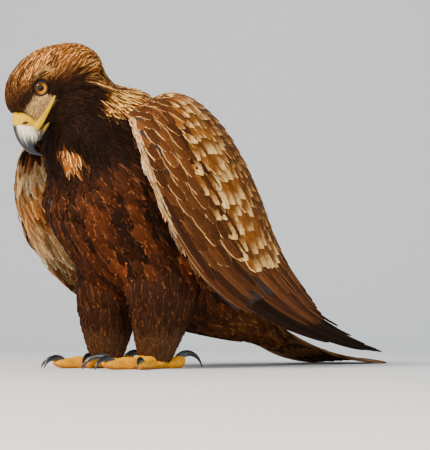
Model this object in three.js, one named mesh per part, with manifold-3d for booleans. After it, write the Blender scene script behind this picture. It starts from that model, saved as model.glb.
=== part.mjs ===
// Golden eagle, life size, standing on the ground with folded wings and a bowed, turned head.
// Millimetres, +Z up. The bird faces -Y and its left side is +X.
// Each sub-part is a closed solid. Where two meet, one is cut back by a slightly grown copy of the
// other, so that a thin seam stays between them. Long feathers are solid vanes; small ones are not
// modelled, and the flesh solids take the outline of the coat instead.

import * as THREE from "three";
import { mergeVertices } from "three/addons/utils/BufferGeometryUtils.js";
import Module from "manifold-3d";

const wasm = await Module();
wasm.setup();

// ---- driving dimensions -----------------------------------------------------------------------

const SEAM = 0.35; // gap between neighbouring solids
const EYE_RADIUS = 9.4;
const EYE_OUT = 21.5; // eye centre from the head's middle plane
const HEAD_PITCH = 60; // degrees that the bill points below the horizon
const HEAD_YAW = 28; // degrees that the head turns to the bird's right
const EYE_LINE = [-12, -120, 327]; // point midway between the eyes
const FOOT_AT = [43, 14, 0]; // middle of the left foot's ball, on the ground
const HOCK_HEIGHT = 62; // where the thigh ends and the feathered shank begins
const TAIL_FEATHERS = 12;
const TAIL_LENGTH = 322;
const RIGHT_WING_LIFT = 12; // how far the right wing's edge stands further out than the left one's

// ---- small helpers ----------------------------------------------------------------------------

const X = new THREE.Vector3(1, 0, 0);
const Z = new THREE.Vector3(0, 0, 1);
const vec = (p) => new THREE.Vector3(p[0], p[1], p[2]);
const mix = THREE.MathUtils.lerp;
const rad = THREE.MathUtils.degToRad;

// A smooth curve through rows of three numbers; t runs from 0 at the first row to 1 at the last.
function track(rows) {
  const curve = new THREE.CatmullRomCurve3(rows.map(vec), false, "catmullrom", 0.5);
  return (t) => curve.getPoint(THREE.MathUtils.clamp(t, 0, 1));
}

// Turns a closed three.js geometry into a solid that can be joined and cut.
function solidOf(geometry) {
  geometry.deleteAttribute("normal");
  geometry.deleteAttribute("uv");
  const merged = mergeVertices(geometry, 1e-3);
  const build = (triVerts) =>
    new wasm.Manifold(
      new wasm.Mesh({ numProp: 3, vertProperties: merged.attributes.position.array, triVerts }),
    );
  const corners = new Uint32Array(merged.index.array);
  const made = build(corners);
  return made.volume() > 0 ? made : build(corners.reverse());
}

// Moves every vertex of a geometry to place(vertex) and makes it a solid.
function shaped(geometry, place) {
  const position = geometry.getAttribute("position");
  const v = new THREE.Vector3();
  for (let i = 0; i < position.count; i++) {
    const p = place(v.fromBufferAttribute(position, i));
    position.setXYZ(i, p.x, p.y, p.z);
  }
  return solidOf(geometry);
}

// A rounded limb along a path. Each row is [x, y, z, half width, half depth]; the width runs along
// `side`, and `grow` makes a fatter copy for cutting.
function limb(rows, { sides = 22, rings = 20, side = X, grow = 0 } = {}) {
  const path = track(rows);
  const size = track(rows.map((r) => [r[3], r[4], 0]));
  return shaped(new THREE.CylinderGeometry(1, 1, 1, sides, rings), (v) => {
    const t = v.y + 0.5;
    const along = path(t + 0.01).sub(path(t - 0.01)).normalize();
    const across = side.clone().addScaledVector(along, -side.dot(along)).normalize();
    const deep = across.clone().cross(along);
    const { x: wide, y: thick } = size(t);
    const end = t < 1e-6 ? -grow : t > 1 - 1e-6 ? grow : 0;
    return path(t)
      .addScaledVector(across, v.x * (wide + grow))
      .addScaledVector(deep, v.z * (thick + grow))
      .addScaledVector(along, end);
  });
}

function ball(at, radii, { turn, sides = 10, rings = 6 } = {}) {
  return shaped(new THREE.SphereGeometry(1, sides, rings), (v) => {
    const p = new THREE.Vector3(v.x * radii[0], v.y * radii[1], v.z * radii[2]);
    return (turn ? p.applyQuaternion(turn) : p).add(at);
  });
}

const joined = (solids) => solids.reduce((all, s) => all.add(s));
const without = (solid, ...cutters) => cutters.reduce((left, c) => left.subtract(c), solid);
const opposite = (normal) => normal.map((c) => -c);

// The largest piece of a solid, so that slivers left by a cut are dropped.
function largest(solid) {
  return solid.decompose().reduce((best, s) => (s.volume() > best.volume() ? s : best));
}

// The part of a solid on the side of a plane that the normal points to.
function beyond(solid, point, normal, gap = 0) {
  const n = vec(normal).normalize();
  return solid.trimByPlane([n.x, n.y, n.z], n.dot(vec(point)) + gap);
}

// ---- head frame: forward, left and up, from the point midway between the eyes ----------------

const yaw = rad(HEAD_YAW);
const pitch = rad(HEAD_PITCH);
const headForward = new THREE.Vector3(
  -Math.sin(yaw) * Math.cos(pitch),
  -Math.cos(yaw) * Math.cos(pitch),
  -Math.sin(pitch),
);
const headLeft = new THREE.Vector3(Math.cos(yaw), -Math.sin(yaw), 0);
const headUp = headForward.clone().cross(headLeft);

function inHead(forward, left, up) {
  return vec(EYE_LINE)
    .addScaledVector(headForward, forward)
    .addScaledVector(headLeft, left)
    .addScaledVector(headUp, up);
}

// A head-frame form from rows of [forward at top, up at top, forward at bottom, up at bottom,
// half width]: each row is one cross-section, seen from the side as a line from top to bottom.
function profile(rows, { sides = 12, rings = 9, grow = 0 } = {}) {
  const top = track(rows.map((r) => [r[0], r[1], r[4]]));
  const bottom = track(rows.map((r) => [r[2], r[3], 0]));
  return shaped(new THREE.CylinderGeometry(1, 1, 1, sides, rings), (v) => {
    const t = v.y + 0.5;
    const hi = top(t);
    const lo = bottom(t);
    const high = new THREE.Vector2(hi.x - lo.x, hi.y - lo.y);
    const half = high.length() / 2;
    high.normalize();
    const ahead = t < 1e-6 ? -grow : t > 1 - 1e-6 ? grow : 0;
    const up = v.z * (half + grow);
    return inHead(
      (hi.x + lo.x) / 2 + high.x * up + high.y * ahead,
      v.x * (hi.z + grow),
      (hi.y + lo.y) / 2 + high.y * up - high.x * ahead,
    );
  });
}

const SKULL = [
  [-76, -22, -66, -51, 22],
  [-69, -4, -62, -55, 31],
  [-55, 13, -56, -53, 35.5],
  [-37, 27.5, -41, -49, 37],
  [-17, 35, -21, -44, 36.5],
  [2, 37, -2, -41, 35.5],
  [15, 35, 12, -39, 31.5],
  [26, 30, 23, -36.5, 26],
  [34, 23.5, 32, -34, 20],
  [40, 15, 39, -31, 14.5],
];
const UPPER_BILL = [
  [36, 9.5, 34, -22, 14.2],
  [43, 8, 41, -25, 13],
  [50, 3.8, 46, -28, 11.6],
  [57.5, -2.8, 50.5, -30.2, 9.8],
  [64, -11.5, 54.5, -31.8, 7.8],
  [68, -21.5, 58.5, -33.2, 5.6],
  [68.4, -32, 61.4, -36, 3.4],
  [63.6, -45.4, 61.8, -44.8, 0.9],
];
const LOWER_BILL = [
  [22, -25, 22, -33.4, 11.2],
  [36, -26.6, 36, -33.4, 9.8],
  [44, -28.8, 44, -33.6, 7.4],
  [50.5, -31.2, 50, -33.4, 3.8],
];
const CERE = [
  [34.5, 12, 32.5, -24.4, 15.6],
  [42, 10, 36.5, -25.6, 14.8],
  [54, 1.4, 41, -26.4, 12.9],
];
// [forward, left, up, half width, half depth] along one side of the head
const GAPE = [
  [2, 31, -18.6, 2.2, 2.4],
  [14, 26, -20, 2.3, 2.6],
  [26, 19, -21, 2.4, 2.7],
  [38, 12.8, -21.4, 2.3, 2.4],
];
const BROW = [
  [-18, 25, 18, 4, 4],
  [-4, 27, 16, 7, 6],
  [10, 25.5, 13, 7, 6],
  [22, 18.5, 11, 6, 5],
  [32, 12, 8, 4, 3],
];

// A rounded strip in the head frame, on the left (+1) or right (-1) side.
function strip(rows, hand, grow = 0) {
  const placed = rows.map(([f, l, u, wide, deep]) => [...inHead(f, l * hand, u), wide, deep]);
  return limb(placed, { sides: 5, rings: 3, side: headLeft, grow });
}

const eyeAt = (hand) => inHead(1, EYE_OUT * hand, 0);
const eyeBall = (hand, grow = 0) => ball(eyeAt(hand), Array(3).fill(EYE_RADIUS + grow));

function socket(hand) {
  const outward = inHead(6, 34 * hand, 0).sub(inHead(0, 0, 0)).normalize();
  const turn = new THREE.Quaternion().setFromUnitVectors(Z, outward);
  return ball(inHead(3, 36 * hand, -0.5), [13, 11, 7], { turn, sides: 8, rings: 4 });
}

// ---- trunk, neck and tail base: one long form, parted by thin cuts ---------------------------

const BODY = [
  [0, 284, 30, 20, 8],
  [0, 228, 49, 40, 20],
  [0, 174, 75, 62, 40],
  [0, 124, 108, 82, 66],
  [0, 80, 144, 95, 90],
  [0, 42, 184, 102, 107],
  [0, 10, 226, 102, 110],
  [0, -18, 262, 91, 95],
  [-2, -50, 283, 73, 69],
  [-3, -72, 310, 57, 54],
  [-7, -90, 322, 46, 47],
  [-11, -106, 328, 32, 32],
];
const bodyForm = (grow = 0) => limb(BODY, { sides: 16, rings: 13, grow });

const LEG = [
  [34, 62, 176, 40, 56],
  [42, 44, 134, 44, 62],
  [46, 28, 94, 40, 52],
  [47, 22, 58, 32, 38],
  [45, 19, 30, 25, 28],
  [43, 17, 9, 19, 20],
];
const legForm = (grow = 0) => limb(LEG, { sides: 14, rings: 9, grow });

// ---- foot: four toes and four claws -----------------------------------------------------------

// [heading from straight ahead, towards the outer side, toe length, claw length along its curve]
const TOES = {
  inner: [-30, 52, 40],
  middle: [2, 66, 34],
  outer: [34, 54, 30],
  hind: [176, 40, 48],
};
const TOE_THICK = 8.2; // half thickness near the ball of the foot
const CLAW_TURN = rad(118); // angle that a claw curves through
const CLAW_START = rad(-42); // a claw leaves its toe rising by this much
const CLAW_TIP = 0.7; // half thickness

// A point at a distance along a toe's heading, sideways and above the ground.
function onToe(heading, distance, up) {
  const a = rad(heading);
  return vec(FOOT_AT).add(
    new THREE.Vector3(Math.sin(a) * distance, -Math.cos(a) * distance, up),
  );
}
const toeSide = (heading) => new THREE.Vector3(Math.cos(rad(heading)), Math.sin(rad(heading)), 0);

// [share of the length, height of the middle, thickness], with a pad below each joint
const TOE_PADS = [
  [0, 7.6, 1.1],
  [0.2, 6.8, 1.12],
  [0.36, 6.4, 0.92],
  [0.52, 6.2, 1.04],
  [0.68, 5.6, 0.86],
  [0.84, 5.4, 0.94],
  [1, 4.8, 0.7],
];

// How high a claw's root sits when its tip rests on the ground.
function clawRoot(arc) {
  const drop = Math.cos(CLAW_START) - Math.cos(CLAW_START + CLAW_TURN);
  return (arc / CLAW_TURN) * drop + CLAW_TIP;
}

// The last joint of a toe rises, so that it holds the root of its claw.
function toe([heading, length, arc], grow = 0) {
  const rows = TOE_PADS.map(([share, up, thick]) => {
    const rise = Math.max(0, (share - 0.5) / 0.5) ** 1.5;
    const middle = mix(up, clawRoot(arc) * 0.72, rise);
    const deep = mix(TOE_THICK * thick * 0.95, clawRoot(arc) * 0.72 - 0.9, rise);
    return [...onToe(heading, 6 + share * length, middle), TOE_THICK * thick, deep];
  });
  return limb(rows, { sides: 6, rings: 4, side: toeSide(heading), grow });
}

function claw([heading, length, arc], grow = 0) {
  const radius = arc / CLAW_TURN;
  const rows = [0, 0.2, 0.4, 0.6, 0.8, 0.93, 1].map((share) => {
    const turn = CLAW_START + share * CLAW_TURN;
    const out = length + radius * (Math.sin(turn) - Math.sin(CLAW_START));
    const up = clawRoot(arc) - radius * (Math.cos(CLAW_START) - Math.cos(turn));
    const thick = mix(5.2, CLAW_TIP, share ** 1.15);
    return [...onToe(heading, out, up), thick * 0.82, thick];
  });
  return limb(rows, { sides: 6, rings: 6, side: toeSide(heading), grow });
}

// Lifts a claw so that its lowest point stands on the ground.
const toGround = (solid) => [0, 0, 0.05 - solid.boundingBox().min[2]];

// ---- wing: a band between a leading edge and a trailing edge ---------------------------------

const WING = {
  lead: [
    [62, -44, 300],
    [96, -66, 272],
    [115, -66, 228],
    [124, -48, 181],
    [127, -20, 138],
    [124, 22, 99],
    [117, 80, 68],
    [105, 154, 45],
    [89, 246, 28],
    [70, 342, 16],
    [54, 424, 12],
  ],
  trail: [
    [42, 20, 322],
    [29, 84, 320],
    [20, 140, 289],
    [16, 183, 240],
    [15, 216, 189],
    [15, 252, 141],
    [16, 294, 101],
    [19, 340, 67],
    [23, 388, 42],
    [30, 434, 26],
    [38, 464, 17],
  ],
  // [outward bulge, half thickness]
  body: [
    [8, 5],
    [34, 8],
    [46, 9],
    [50, 9],
    [48, 8],
    [42, 6.5],
    [34, 4.5],
    [24, 3.2],
    [15, 2.2],
    [8, 1.4],
    [3, 1],
  ],
};
const leadAt = track(WING.lead);
const trailAt = track(WING.trail);
const bodyAt = track(WING.body.map(([b, h]) => [b, h, 0]));

// A point of the left wing: s along it from 0 to 1, t across it from 0 at the leading edge to 1,
// and h outwards from the middle of its thickness.
function onWing(s, t, h, lift = 0) {
  const lead = leadAt(s);
  const trail = trailAt(s);
  const down = leadAt(s + 0.01).sub(leadAt(s - 0.01)).add(trailAt(s + 0.01)).sub(trailAt(s - 0.01));
  const out = down.normalize().cross(trail.clone().sub(lead).normalize()).normalize();
  const { x: bulge } = bodyAt(s);
  const arch = bulge * 4 * t * (1 - t);
  const open = lift * (1 - t) * Math.min(1, 4 * s) * (1 - s);
  return lead.lerp(trail, t).addScaledVector(out, arch + h).addScaledVector(X, open);
}

// A plate on the wing between s0(t) and s1(t), and between t0(s) and t1(s), with rounded leading
// and trailing edges.
function wingPlate({ s0, s1, t0 = () => 0, t1 = () => 1, lift, thin = 1, grow = 0, nx, nz }) {
  return shaped(new THREE.BoxGeometry(1, 1, 1, nx, 1, nz), (v) => {
    const across = v.x + 0.5;
    const end = Math.abs(v.z) > 0.499 ? (Math.sign(v.z) * grow) / 600 : 0;
    const s = mix(s0(across), s1(across), v.z + 0.5) + end;
    const side = Math.abs(v.x) > 0.499 ? (Math.sign(v.x) * grow) / 150 : 0;
    const t = mix(t0(s), t1(s), across) + side;
    const edge = Math.sqrt(Math.max(0.06, 1 - Math.abs(2 * v.x) ** 4));
    const half = bodyAt(s).y * thin * edge + grow;
    return onWing(s, t, v.y * 2 * half, lift);
  });
}

// One long feather that follows the wing, from s0 to s1, drifting across from t0 to t1.
function quill({ from, to, t0, t1, lift, out, width }) {
  return shaped(new THREE.BoxGeometry(1, 1, 1, 1, 1, 4), (v) => {
    const share = 1 - (0.5 - v.z) ** 1.4;
    const s = mix(from, to, share);
    const span = leadAt(s).distanceTo(trailAt(s));
    const taper = Math.min(1, 0.75 + share) * Math.sqrt(Math.max(0.02, 1 - share ** 6));
    const t = mix(t0, t1, share) + (v.x * width * taper) / Math.max(span, 40);
    return onWing(s, t, mix(out[0], out[1], share) + v.y * 1.5, lift);
  });
}

// How far along the wing each primary reaches, the outermost one first.
const PRIMARY_TIPS = [0.83, 0.94, 1, 0.97, 0.91, 0.85, 0.79];

// Feather tips along the lower edge of a plate: a bow with a small step at every second point.
const FEATHER_TIPS = 10;
const tipsAt = (low, bow, step) => (t) => {
  const odd = Math.round(t * FEATHER_TIPS) % 2;
  return low + bow * Math.sin(Math.PI * Math.min(1, 0.12 + t)) + odd * step;
};
const COVERTS_EDGE = tipsAt(0.38, 0.07, 0.012);
const SECONDARIES_EDGE = tipsAt(0.62, 0.14, 0.016);
const SPLIT_FROM = 0.38;
const SPLIT_TO = 0.74;
const splitAt = (s) => mix(0.08, 0.34, (s - SPLIT_FROM) / (SPLIT_TO - SPLIT_FROM));

function wingSolids(lift) {
  const covertsForm = (grow) =>
    wingPlate({ s0: () => 0, s1: COVERTS_EDGE, lift, grow, nx: FEATHER_TIPS, nz: 7 });
  const secondariesForm = (grow) =>
    wingPlate({
      s0: (t) => COVERTS_EDGE(t) - 0.03,
      s1: SECONDARIES_EDGE,
      t0: splitAt,
      lift,
      grow,
      nx: FEATHER_TIPS,
      nz: 6,
    });
  const quills = PRIMARY_TIPS.map((tip, i) =>
    quill({
      from: SPLIT_FROM,
      to: tip,
      t0: 0.07 + 0.02 * i,
      t1: 0.14 + 0.085 * i,
      lift,
      out: [-0.7 * i, -1 + 0.55 * i],
      width: 28,
    }),
  );
  const band = wingPlate({
    s0: () => SPLIT_FROM,
    s1: () => 0.6,
    t0: (s) => 0.3 * (s - SPLIT_FROM) ** 2,
    t1: (s) => splitAt(s) + 0.1,
    lift,
    nx: 2,
    nz: 4,
    thin: 0.8,
  });
  const coverts = covertsForm(0);
  const covertsCutter = covertsForm(SEAM);
  const secondaries = largest(without(secondariesForm(0), covertsCutter));
  const primaries = largest(
    without(joined([...quills, band]), covertsCutter, secondariesForm(SEAM)),
  );
  return { coverts, secondaries, primaries };
}

// ---- tail: twelve vanes in a closed fan, bent so that they lie along the ground --------------

const tailPath = track([
  [0, 172, 100],
  [0, 218, 66],
  [0, 272, 37],
  [0, 336, 15],
  [0, 403, 3],
  [0, 468, -0.8],
]);
const TAIL_PATH_LENGTH = 325;

function tailFeather(index) {
  const place = (2 * index) / (TAIL_FEATHERS - 1) - 1; // -1 at the right, +1 at the left
  const outer = Math.abs(place);
  const length = (TAIL_LENGTH - 26 * outer ** 2) / TAIL_PATH_LENGTH;
  return shaped(new THREE.BoxGeometry(1, 1, 1, 1, 1, 4), (v) => {
    const share = 1 - (0.5 - v.z) ** 1.3;
    const s = mix(0.02, length, share);
    const along = tailPath(s + 0.01).sub(tailPath(s - 0.01)).normalize();
    const up = X.clone().cross(along);
    const fan = place * mix(18, 56, share ** 1.1);
    const half = mix(13, 22, Math.min(1, 1.6 * share)) * Math.sqrt(Math.max(0.05, 1 - share ** 8));
    const x = fan + v.x * 2 * half;
    const drop = (x / 60) ** 2 * mix(14, 2.5, share) + outer * mix(6, 2.2, share);
    return tailPath(s)
      .addScaledVector(X, x)
      .addScaledVector(up, mix(8, 4.6, share) - drop + v.y * 1.6);
  });
}

// ---- solids -----------------------------------------------------------------------------------

const solids = {};

const skullForm = (grow = 0) => profile(SKULL, { grow });
const cereForm = (grow = 0) =>
  joined([profile(CERE, { grow, rings: 3 }), strip(GAPE, 1, grow), strip(GAPE, -1, grow)]);
const upperBillForm = (grow = 0) => profile(UPPER_BILL, { grow, sides: 12 });
const lowerBillForm = (grow = 0) => profile(LOWER_BILL, { grow, rings: 4, sides: 10 });

solids.upper_bill = upperBillForm();
solids.lower_bill = largest(without(lowerBillForm(), upperBillForm(SEAM)));
solids.cere = largest(without(cereForm(), upperBillForm(SEAM), lowerBillForm(SEAM)));
solids.left_eye = eyeBall(1);
solids.right_eye = eyeBall(-1);
solids.head = largest(
  without(
    joined([skullForm(), strip(BROW, 1), strip(BROW, -1)]),
    socket(1),
    socket(-1),
    eyeBall(1, SEAM),
    eyeBall(-1, SEAM),
    cereForm(SEAM),
    upperBillForm(SEAM),
    lowerBillForm(SEAM),
  ),
);

const NECK_CUT = { at: [0, -26, 282], normal: [0, -0.66, 0.75] };
const TAIL_CUT = { at: [0, 146, 114], normal: [0, -0.76, 0.65] };
const body = bodyForm();
solids.neck = largest(
  without(
    beyond(body, NECK_CUT.at, NECK_CUT.normal, SEAM),
    skullForm(SEAM),
    cereForm(SEAM),
    upperBillForm(SEAM),
    lowerBillForm(SEAM),
  ),
);
solids.trunk = beyond(
  beyond(body, NECK_CUT.at, opposite(NECK_CUT.normal)),
  TAIL_CUT.at,
  TAIL_CUT.normal,
);
solids.tail_coverts = beyond(body, TAIL_CUT.at, opposite(TAIL_CUT.normal), SEAM);

const bodyCutter = bodyForm(SEAM * 1.4);
const onSide = (hand, solid) => (hand === "left" ? solid : solid.mirror([1, 0, 0]));
const ankleAt = vec(FOOT_AT).add(new THREE.Vector3(0, 2, 8));
const ankle = ball(ankleAt, [17, 17, 12], { sides: 7, rings: 4 });
const claws = {};
const clawCutters = [];
for (const [name, row] of Object.entries(TOES)) {
  const plain = claw(row);
  claws[name + "_claw"] = plain.translate(toGround(plain));
  clawCutters.push(claw(row, SEAM).translate(toGround(plain)));
}
const toes = joined([ankle, ...Object.values(TOES).map((row) => toe(row))]);
const foot = beyond(without(toes, legForm(SEAM), ...clawCutters), [0, 0, 0], [0, 0, 1]);

for (const [hand, lift] of [["left", 0], ["right", RIGHT_WING_LIFT]]) {
  const leg = largest(without(onSide(hand, legForm()), bodyCutter));
  solids[hand + "_thigh"] = beyond(leg, [0, 0, HOCK_HEIGHT], [0, 0, 1]);
  solids[hand + "_tarsus"] = beyond(leg, [0, 0, HOCK_HEIGHT], [0, 0, -1], SEAM);
  solids[hand + "_foot"] = onSide(hand, largest(foot));
  for (const [name, solid] of Object.entries(claws))
    solids[hand + "_" + name] = onSide(hand, solid);
  const legCutter = onSide(hand, legForm(SEAM));
  for (const [name, solid] of Object.entries(wingSolids(lift)))
    solids[hand + "_" + name] = largest(without(onSide(hand, solid), bodyCutter, legCutter));
}

const fan = joined([...Array(TAIL_FEATHERS).keys()].map(tailFeather));
solids.tail = largest(beyond(without(fan, bodyCutter), [0, 0, 0], [0, 0, 1]));

// ---- materials and the model ------------------------------------------------------------------

const paint = (color, roughness) =>
  new THREE.MeshStandardMaterial({ color, roughness, metalness: 0, flatShading: true });
const materials = {
  crown: paint("#a06c3c", 0.8),
  dark: paint("#3a2418", 0.85),
  wing: paint("#74492c", 0.8),
  quill: paint("#2a1e19", 0.6),
  tail: paint("#5a4638", 0.7),
  yellow: paint("#efb52a", 0.5),
  horn: paint("#3b4046", 0.3),
  eye: paint("#a8621f", 0.1),
};
const finishes = [
  [/eye$/, "eye"],
  [/bill$|claw$/, "horn"],
  [/cere$|foot$/, "yellow"],
  [/^head$|^neck$/, "crown"],
  [/primaries$/, "quill"],
  [/coverts$|secondaries$/, "wing"],
  [/^tail$/, "tail"],
  [/./, "dark"],
];

function meshOf(name, solid) {
  const { numProp, vertProperties, triVerts } = solid.getMesh();
  const geometry = new THREE.BufferGeometry();
  const points = new THREE.InterleavedBuffer(vertProperties, numProp);
  geometry.setAttribute("position", new THREE.InterleavedBufferAttribute(points, 3, 0));
  geometry.setIndex(new THREE.BufferAttribute(triVerts, 1));
  const finish = finishes.find(([pattern]) => pattern.test(name))[1];
  const mesh = new THREE.Mesh(geometry, materials[finish]);
  mesh.name = name;
  return mesh;
}

const eagle = new THREE.Group();
for (const [name, solid] of Object.entries(solids)) eagle.add(meshOf(name, solid));

// Centre the model over its own footprint and stand it on the ground.
const box = new THREE.Box3().setFromObject(eagle, true);
const middle = box.getCenter(new THREE.Vector3());
eagle.position.set(-middle.x, -middle.y, -box.min.z);

export default eagle;
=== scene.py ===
# %% [markdown]
# # A golden eagle, feather by feather
# This lesson dresses the solid model of a standing golden eagle. The solids give the outline, the
# pose and the size. Blender adds what they leave out: one skin under the coat, thousands of
# contour feathers that overlap like roof tiles, the long feathers of wing and tail, a wet eye, a
# polished bill and scaly toes. Nothing here moves or resizes the solids.

# %% Load the solids
import math

import bmesh
import bpy
import numpy as np
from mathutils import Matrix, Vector
from mathutils.bvhtree import BVHTree
from mathutils.kdtree import KDTree


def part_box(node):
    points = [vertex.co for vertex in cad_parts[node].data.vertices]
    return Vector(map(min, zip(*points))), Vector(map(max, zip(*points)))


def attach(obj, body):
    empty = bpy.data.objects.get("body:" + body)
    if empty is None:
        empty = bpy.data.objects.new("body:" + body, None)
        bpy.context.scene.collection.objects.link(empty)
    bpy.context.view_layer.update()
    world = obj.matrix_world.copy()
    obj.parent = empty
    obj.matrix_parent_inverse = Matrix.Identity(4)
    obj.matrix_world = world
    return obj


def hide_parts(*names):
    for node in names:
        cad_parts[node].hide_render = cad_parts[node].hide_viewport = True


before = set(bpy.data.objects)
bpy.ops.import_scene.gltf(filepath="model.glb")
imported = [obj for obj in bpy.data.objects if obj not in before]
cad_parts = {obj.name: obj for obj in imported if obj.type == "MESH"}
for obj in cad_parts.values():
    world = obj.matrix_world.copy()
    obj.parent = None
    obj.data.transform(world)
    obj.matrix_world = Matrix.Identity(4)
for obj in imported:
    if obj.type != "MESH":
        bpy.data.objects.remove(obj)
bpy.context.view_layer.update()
MM = 0.001
BOTH = ((1, "left"), (-1, "right"))  # the sign of x on each side of the bird

# %% [markdown]
# ## Camera, floor and light
# The bird is seen from low down and from its front left, at 45 degrees. A long lens keeps the
# perspective flat. A museum would light it from large soft boxes, so the key and the fill are big
# area lamps over a pale sweep that runs up behind the bird. A small warm lamp low in front opens
# the shade under the head, one behind draws the edge of the back, and the world is a pale sky.


# %% Small maths helpers and the camera
def unit(v):
    v = np.asarray(v, float)
    return v / np.maximum(np.linalg.norm(v, axis=-1, keepdims=True), 1e-12)


def square(v, way):
    """v without its part along the unit vectors way."""
    return v - (v * way).sum(-1, keepdims=True) * way


def colour(code):
    """An sRGB hex colour as linear RGB."""
    c = np.array([int(code[i : i + 2], 16) / 255 for i in (1, 3, 5)])
    return np.where(c <= 0.04045, c / 12.92, ((c + 0.055) / 1.055) ** 2.4)


def rgba(code):
    return (*colour(code), 1.0)


def aim(obj, place, target):
    obj.location = place
    obj.rotation_euler = (Vector(target) - Vector(place)).to_track_quat("-Z", "Y").to_euler()
    bpy.context.scene.collection.objects.link(obj)


CAMERA_SIDE = math.radians(45)
CAMERA_AWAY, CAMERA_HEIGHT = 2.1, 0.05
SEEN_HEIGHT = 0.575
LOOK_AT = (0.006, 0.006, 0.18)
camera = bpy.data.objects.new("camera", bpy.data.cameras.new("camera"))
camera_place = (
    LOOK_AT[0] + CAMERA_AWAY * math.sin(CAMERA_SIDE),
    LOOK_AT[1] - CAMERA_AWAY * math.cos(CAMERA_SIDE),
    CAMERA_HEIGHT,
)
aim(camera, camera_place, LOOK_AT)
camera.data.lens = camera.data.sensor_width * CAMERA_AWAY / SEEN_HEIGHT
bpy.context.scene.camera = camera
print("lens mm:", round(camera.data.lens, 1))

# %% Soft light
LAMPS = (  # name, place in m, side in m, watts, tint
    ("key", (-0.1, -2.4, 2.0), 0.9, 135, "#fff0da"),
    ("fill", (2.0, -1.5, 0.9), 1.6, 40, "#fff8ee"),
    ("low front", (1.1, -2.2, 0.45), 0.8, 14, "#ffe6c4"),
    ("rim", (-1.2, 2.0, 2.0), 1.4, 14, "#ffffff"),
)
for name, place, size, watts, tint in LAMPS:
    lamp = bpy.data.lights.new(name, "AREA")
    lamp.size, lamp.energy, lamp.color = size, watts, colour(tint)
    aim(bpy.data.objects.new(name, lamp), place, (0, 0, 0.2))
world = bpy.data.worlds.new("pale sky")
world.use_nodes = True
sky = world.node_tree.nodes["Background"].inputs
sky["Color"].default_value, sky["Strength"].default_value = rgba("#dfe8f2"), 0.6
bpy.context.scene.world = world
print("lamps:", len(LAMPS))


# %% [markdown]
# Every material below is a tree of nodes. One helper adds a node, sets its properties and its
# inputs, and links what is given as (node, output). Every piece rides on the one body, the root,
# and hides the solids it stands in for.


# %% The node helpers and the stage
def add(tree, kind, inputs=None, **settings):
    made = tree.nodes.new(kind)
    for key, value in settings.items():
        setattr(made, key, value)
    for key, value in (inputs or {}).items():
        socket = made.inputs[key]
        if isinstance(value, tuple) and isinstance(value[0], bpy.types.Node):
            tree.links.new(value[0].outputs[value[1]], socket)
        else:
            socket.default_value = value
    return made


def maths_in(tree):
    """The maths node of one tree as a plain function."""

    def maths(kind, a, b=0.0, c=0.0):
        return add(tree, "ShaderNodeMath", {0: a, 1: b, 2: c}, operation=kind), "Value"

    return maths


def material(name, **shader_inputs):
    """A material with only its Principled shader; the caller adds the rest."""
    made = bpy.data.materials.new(name)
    made.use_nodes = True
    shader = made.node_tree.nodes["Principled BSDF"]
    for key, value in shader_inputs.items():
        shader.inputs[key.replace("_", " ")].default_value = value
    return made, made.node_tree, shader


def mesh_object(name, verts, faces):
    mesh = bpy.data.meshes.new(name)
    mesh.from_pydata(np.asarray(verts).tolist(), [], [tuple(int(i) for i in f) for f in faces])
    mesh.polygons.foreach_set("use_smooth", [True] * len(mesh.polygons))
    made = bpy.data.objects.new(name, mesh)
    bpy.context.scene.collection.objects.link(made)
    return made


def claim(obj, nodes):
    """Ties a piece to the body, the root, and hides the solids it stands in for."""
    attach(obj, "root")
    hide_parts(*nodes)


FLOOR_FRONT, FLOOR_BACK, FLOOR_TOP, FLOOR_HALF, BEND = -4, 1.6, 4, 5, 1.2


def sweep_floor():
    """A pale sheet that lies flat under the bird and curves up far behind it."""
    turns = np.radians(np.linspace(0, 90, 13))
    bend = [(FLOOR_BACK + BEND * math.sin(a), BEND - BEND * math.cos(a)) for a in turns]
    profile = [(FLOOR_FRONT, 0), *bend, (FLOOR_BACK + BEND, FLOOR_TOP)]
    back = np.array([-math.sin(CAMERA_SIDE), math.cos(CAMERA_SIDE)])
    across = np.array([back[1], -back[0]])
    ends = (-FLOOR_HALF, FLOOR_HALF)
    verts = [(*(back * along + across * end), up) for along, up in profile for end in ends]
    faces = [(2 * i, 2 * i + 1, 2 * i + 3, 2 * i + 2) for i in range(len(profile) - 1)]
    floor = mesh_object("floor", verts, faces)
    floor.data.materials.append(material("matt paint", Base_Color=rgba("#d9dde2"), Roughness=0.9)[0])
    print("floor strips:", len(faces))


sweep_floor()

# %% [markdown]
# ## The frame of the head, and curves through rows of numbers
# The head is bowed and turned, so it has its own axes: forward along the bill, left through the
# eyes, and up through the crown. They come from where the two eye solids are. The same rows of
# numbers that shaped the solids are used for the finer bill, toes and wings, so the pieces fit.


# %% Head axes and the shared origin
def middle(node):
    low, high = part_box(node)
    return np.array((low + high) / 2)


HEAD_PITCH = math.radians(60)
EYE_AHEAD = 1  # the eyes are this many mm ahead of the head's own origin
EYE_IN_ROWS = (-12, -120, 327)  # that origin in the rows of numbers, in mm
head_left = unit(middle("left_eye") - middle("right_eye"))
level = np.cross(head_left, (0, 0, 1))
head_forward = level * math.cos(HEAD_PITCH) - np.array((0, 0, math.sin(HEAD_PITCH)))
head_up = np.cross(head_forward, head_left)
HEAD_AXES = np.array([head_forward, head_left, head_up])
eye_line = (middle("left_eye") + middle("right_eye")) / 2 - head_forward * EYE_AHEAD * MM
ORIGIN = eye_line - np.array(EYE_IN_ROWS) * MM


def in_mm(points):
    """Places in the frame, in metres, as the millimetres of the rows."""
    return (points - ORIGIN) / MM


def in_head(forward, left, up):
    """Head coordinates in mm to the frame in metres; works on arrays."""
    parts = np.stack(np.broadcast_arrays(forward, left, up), -1)
    return eye_line + parts @ HEAD_AXES * MM


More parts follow.
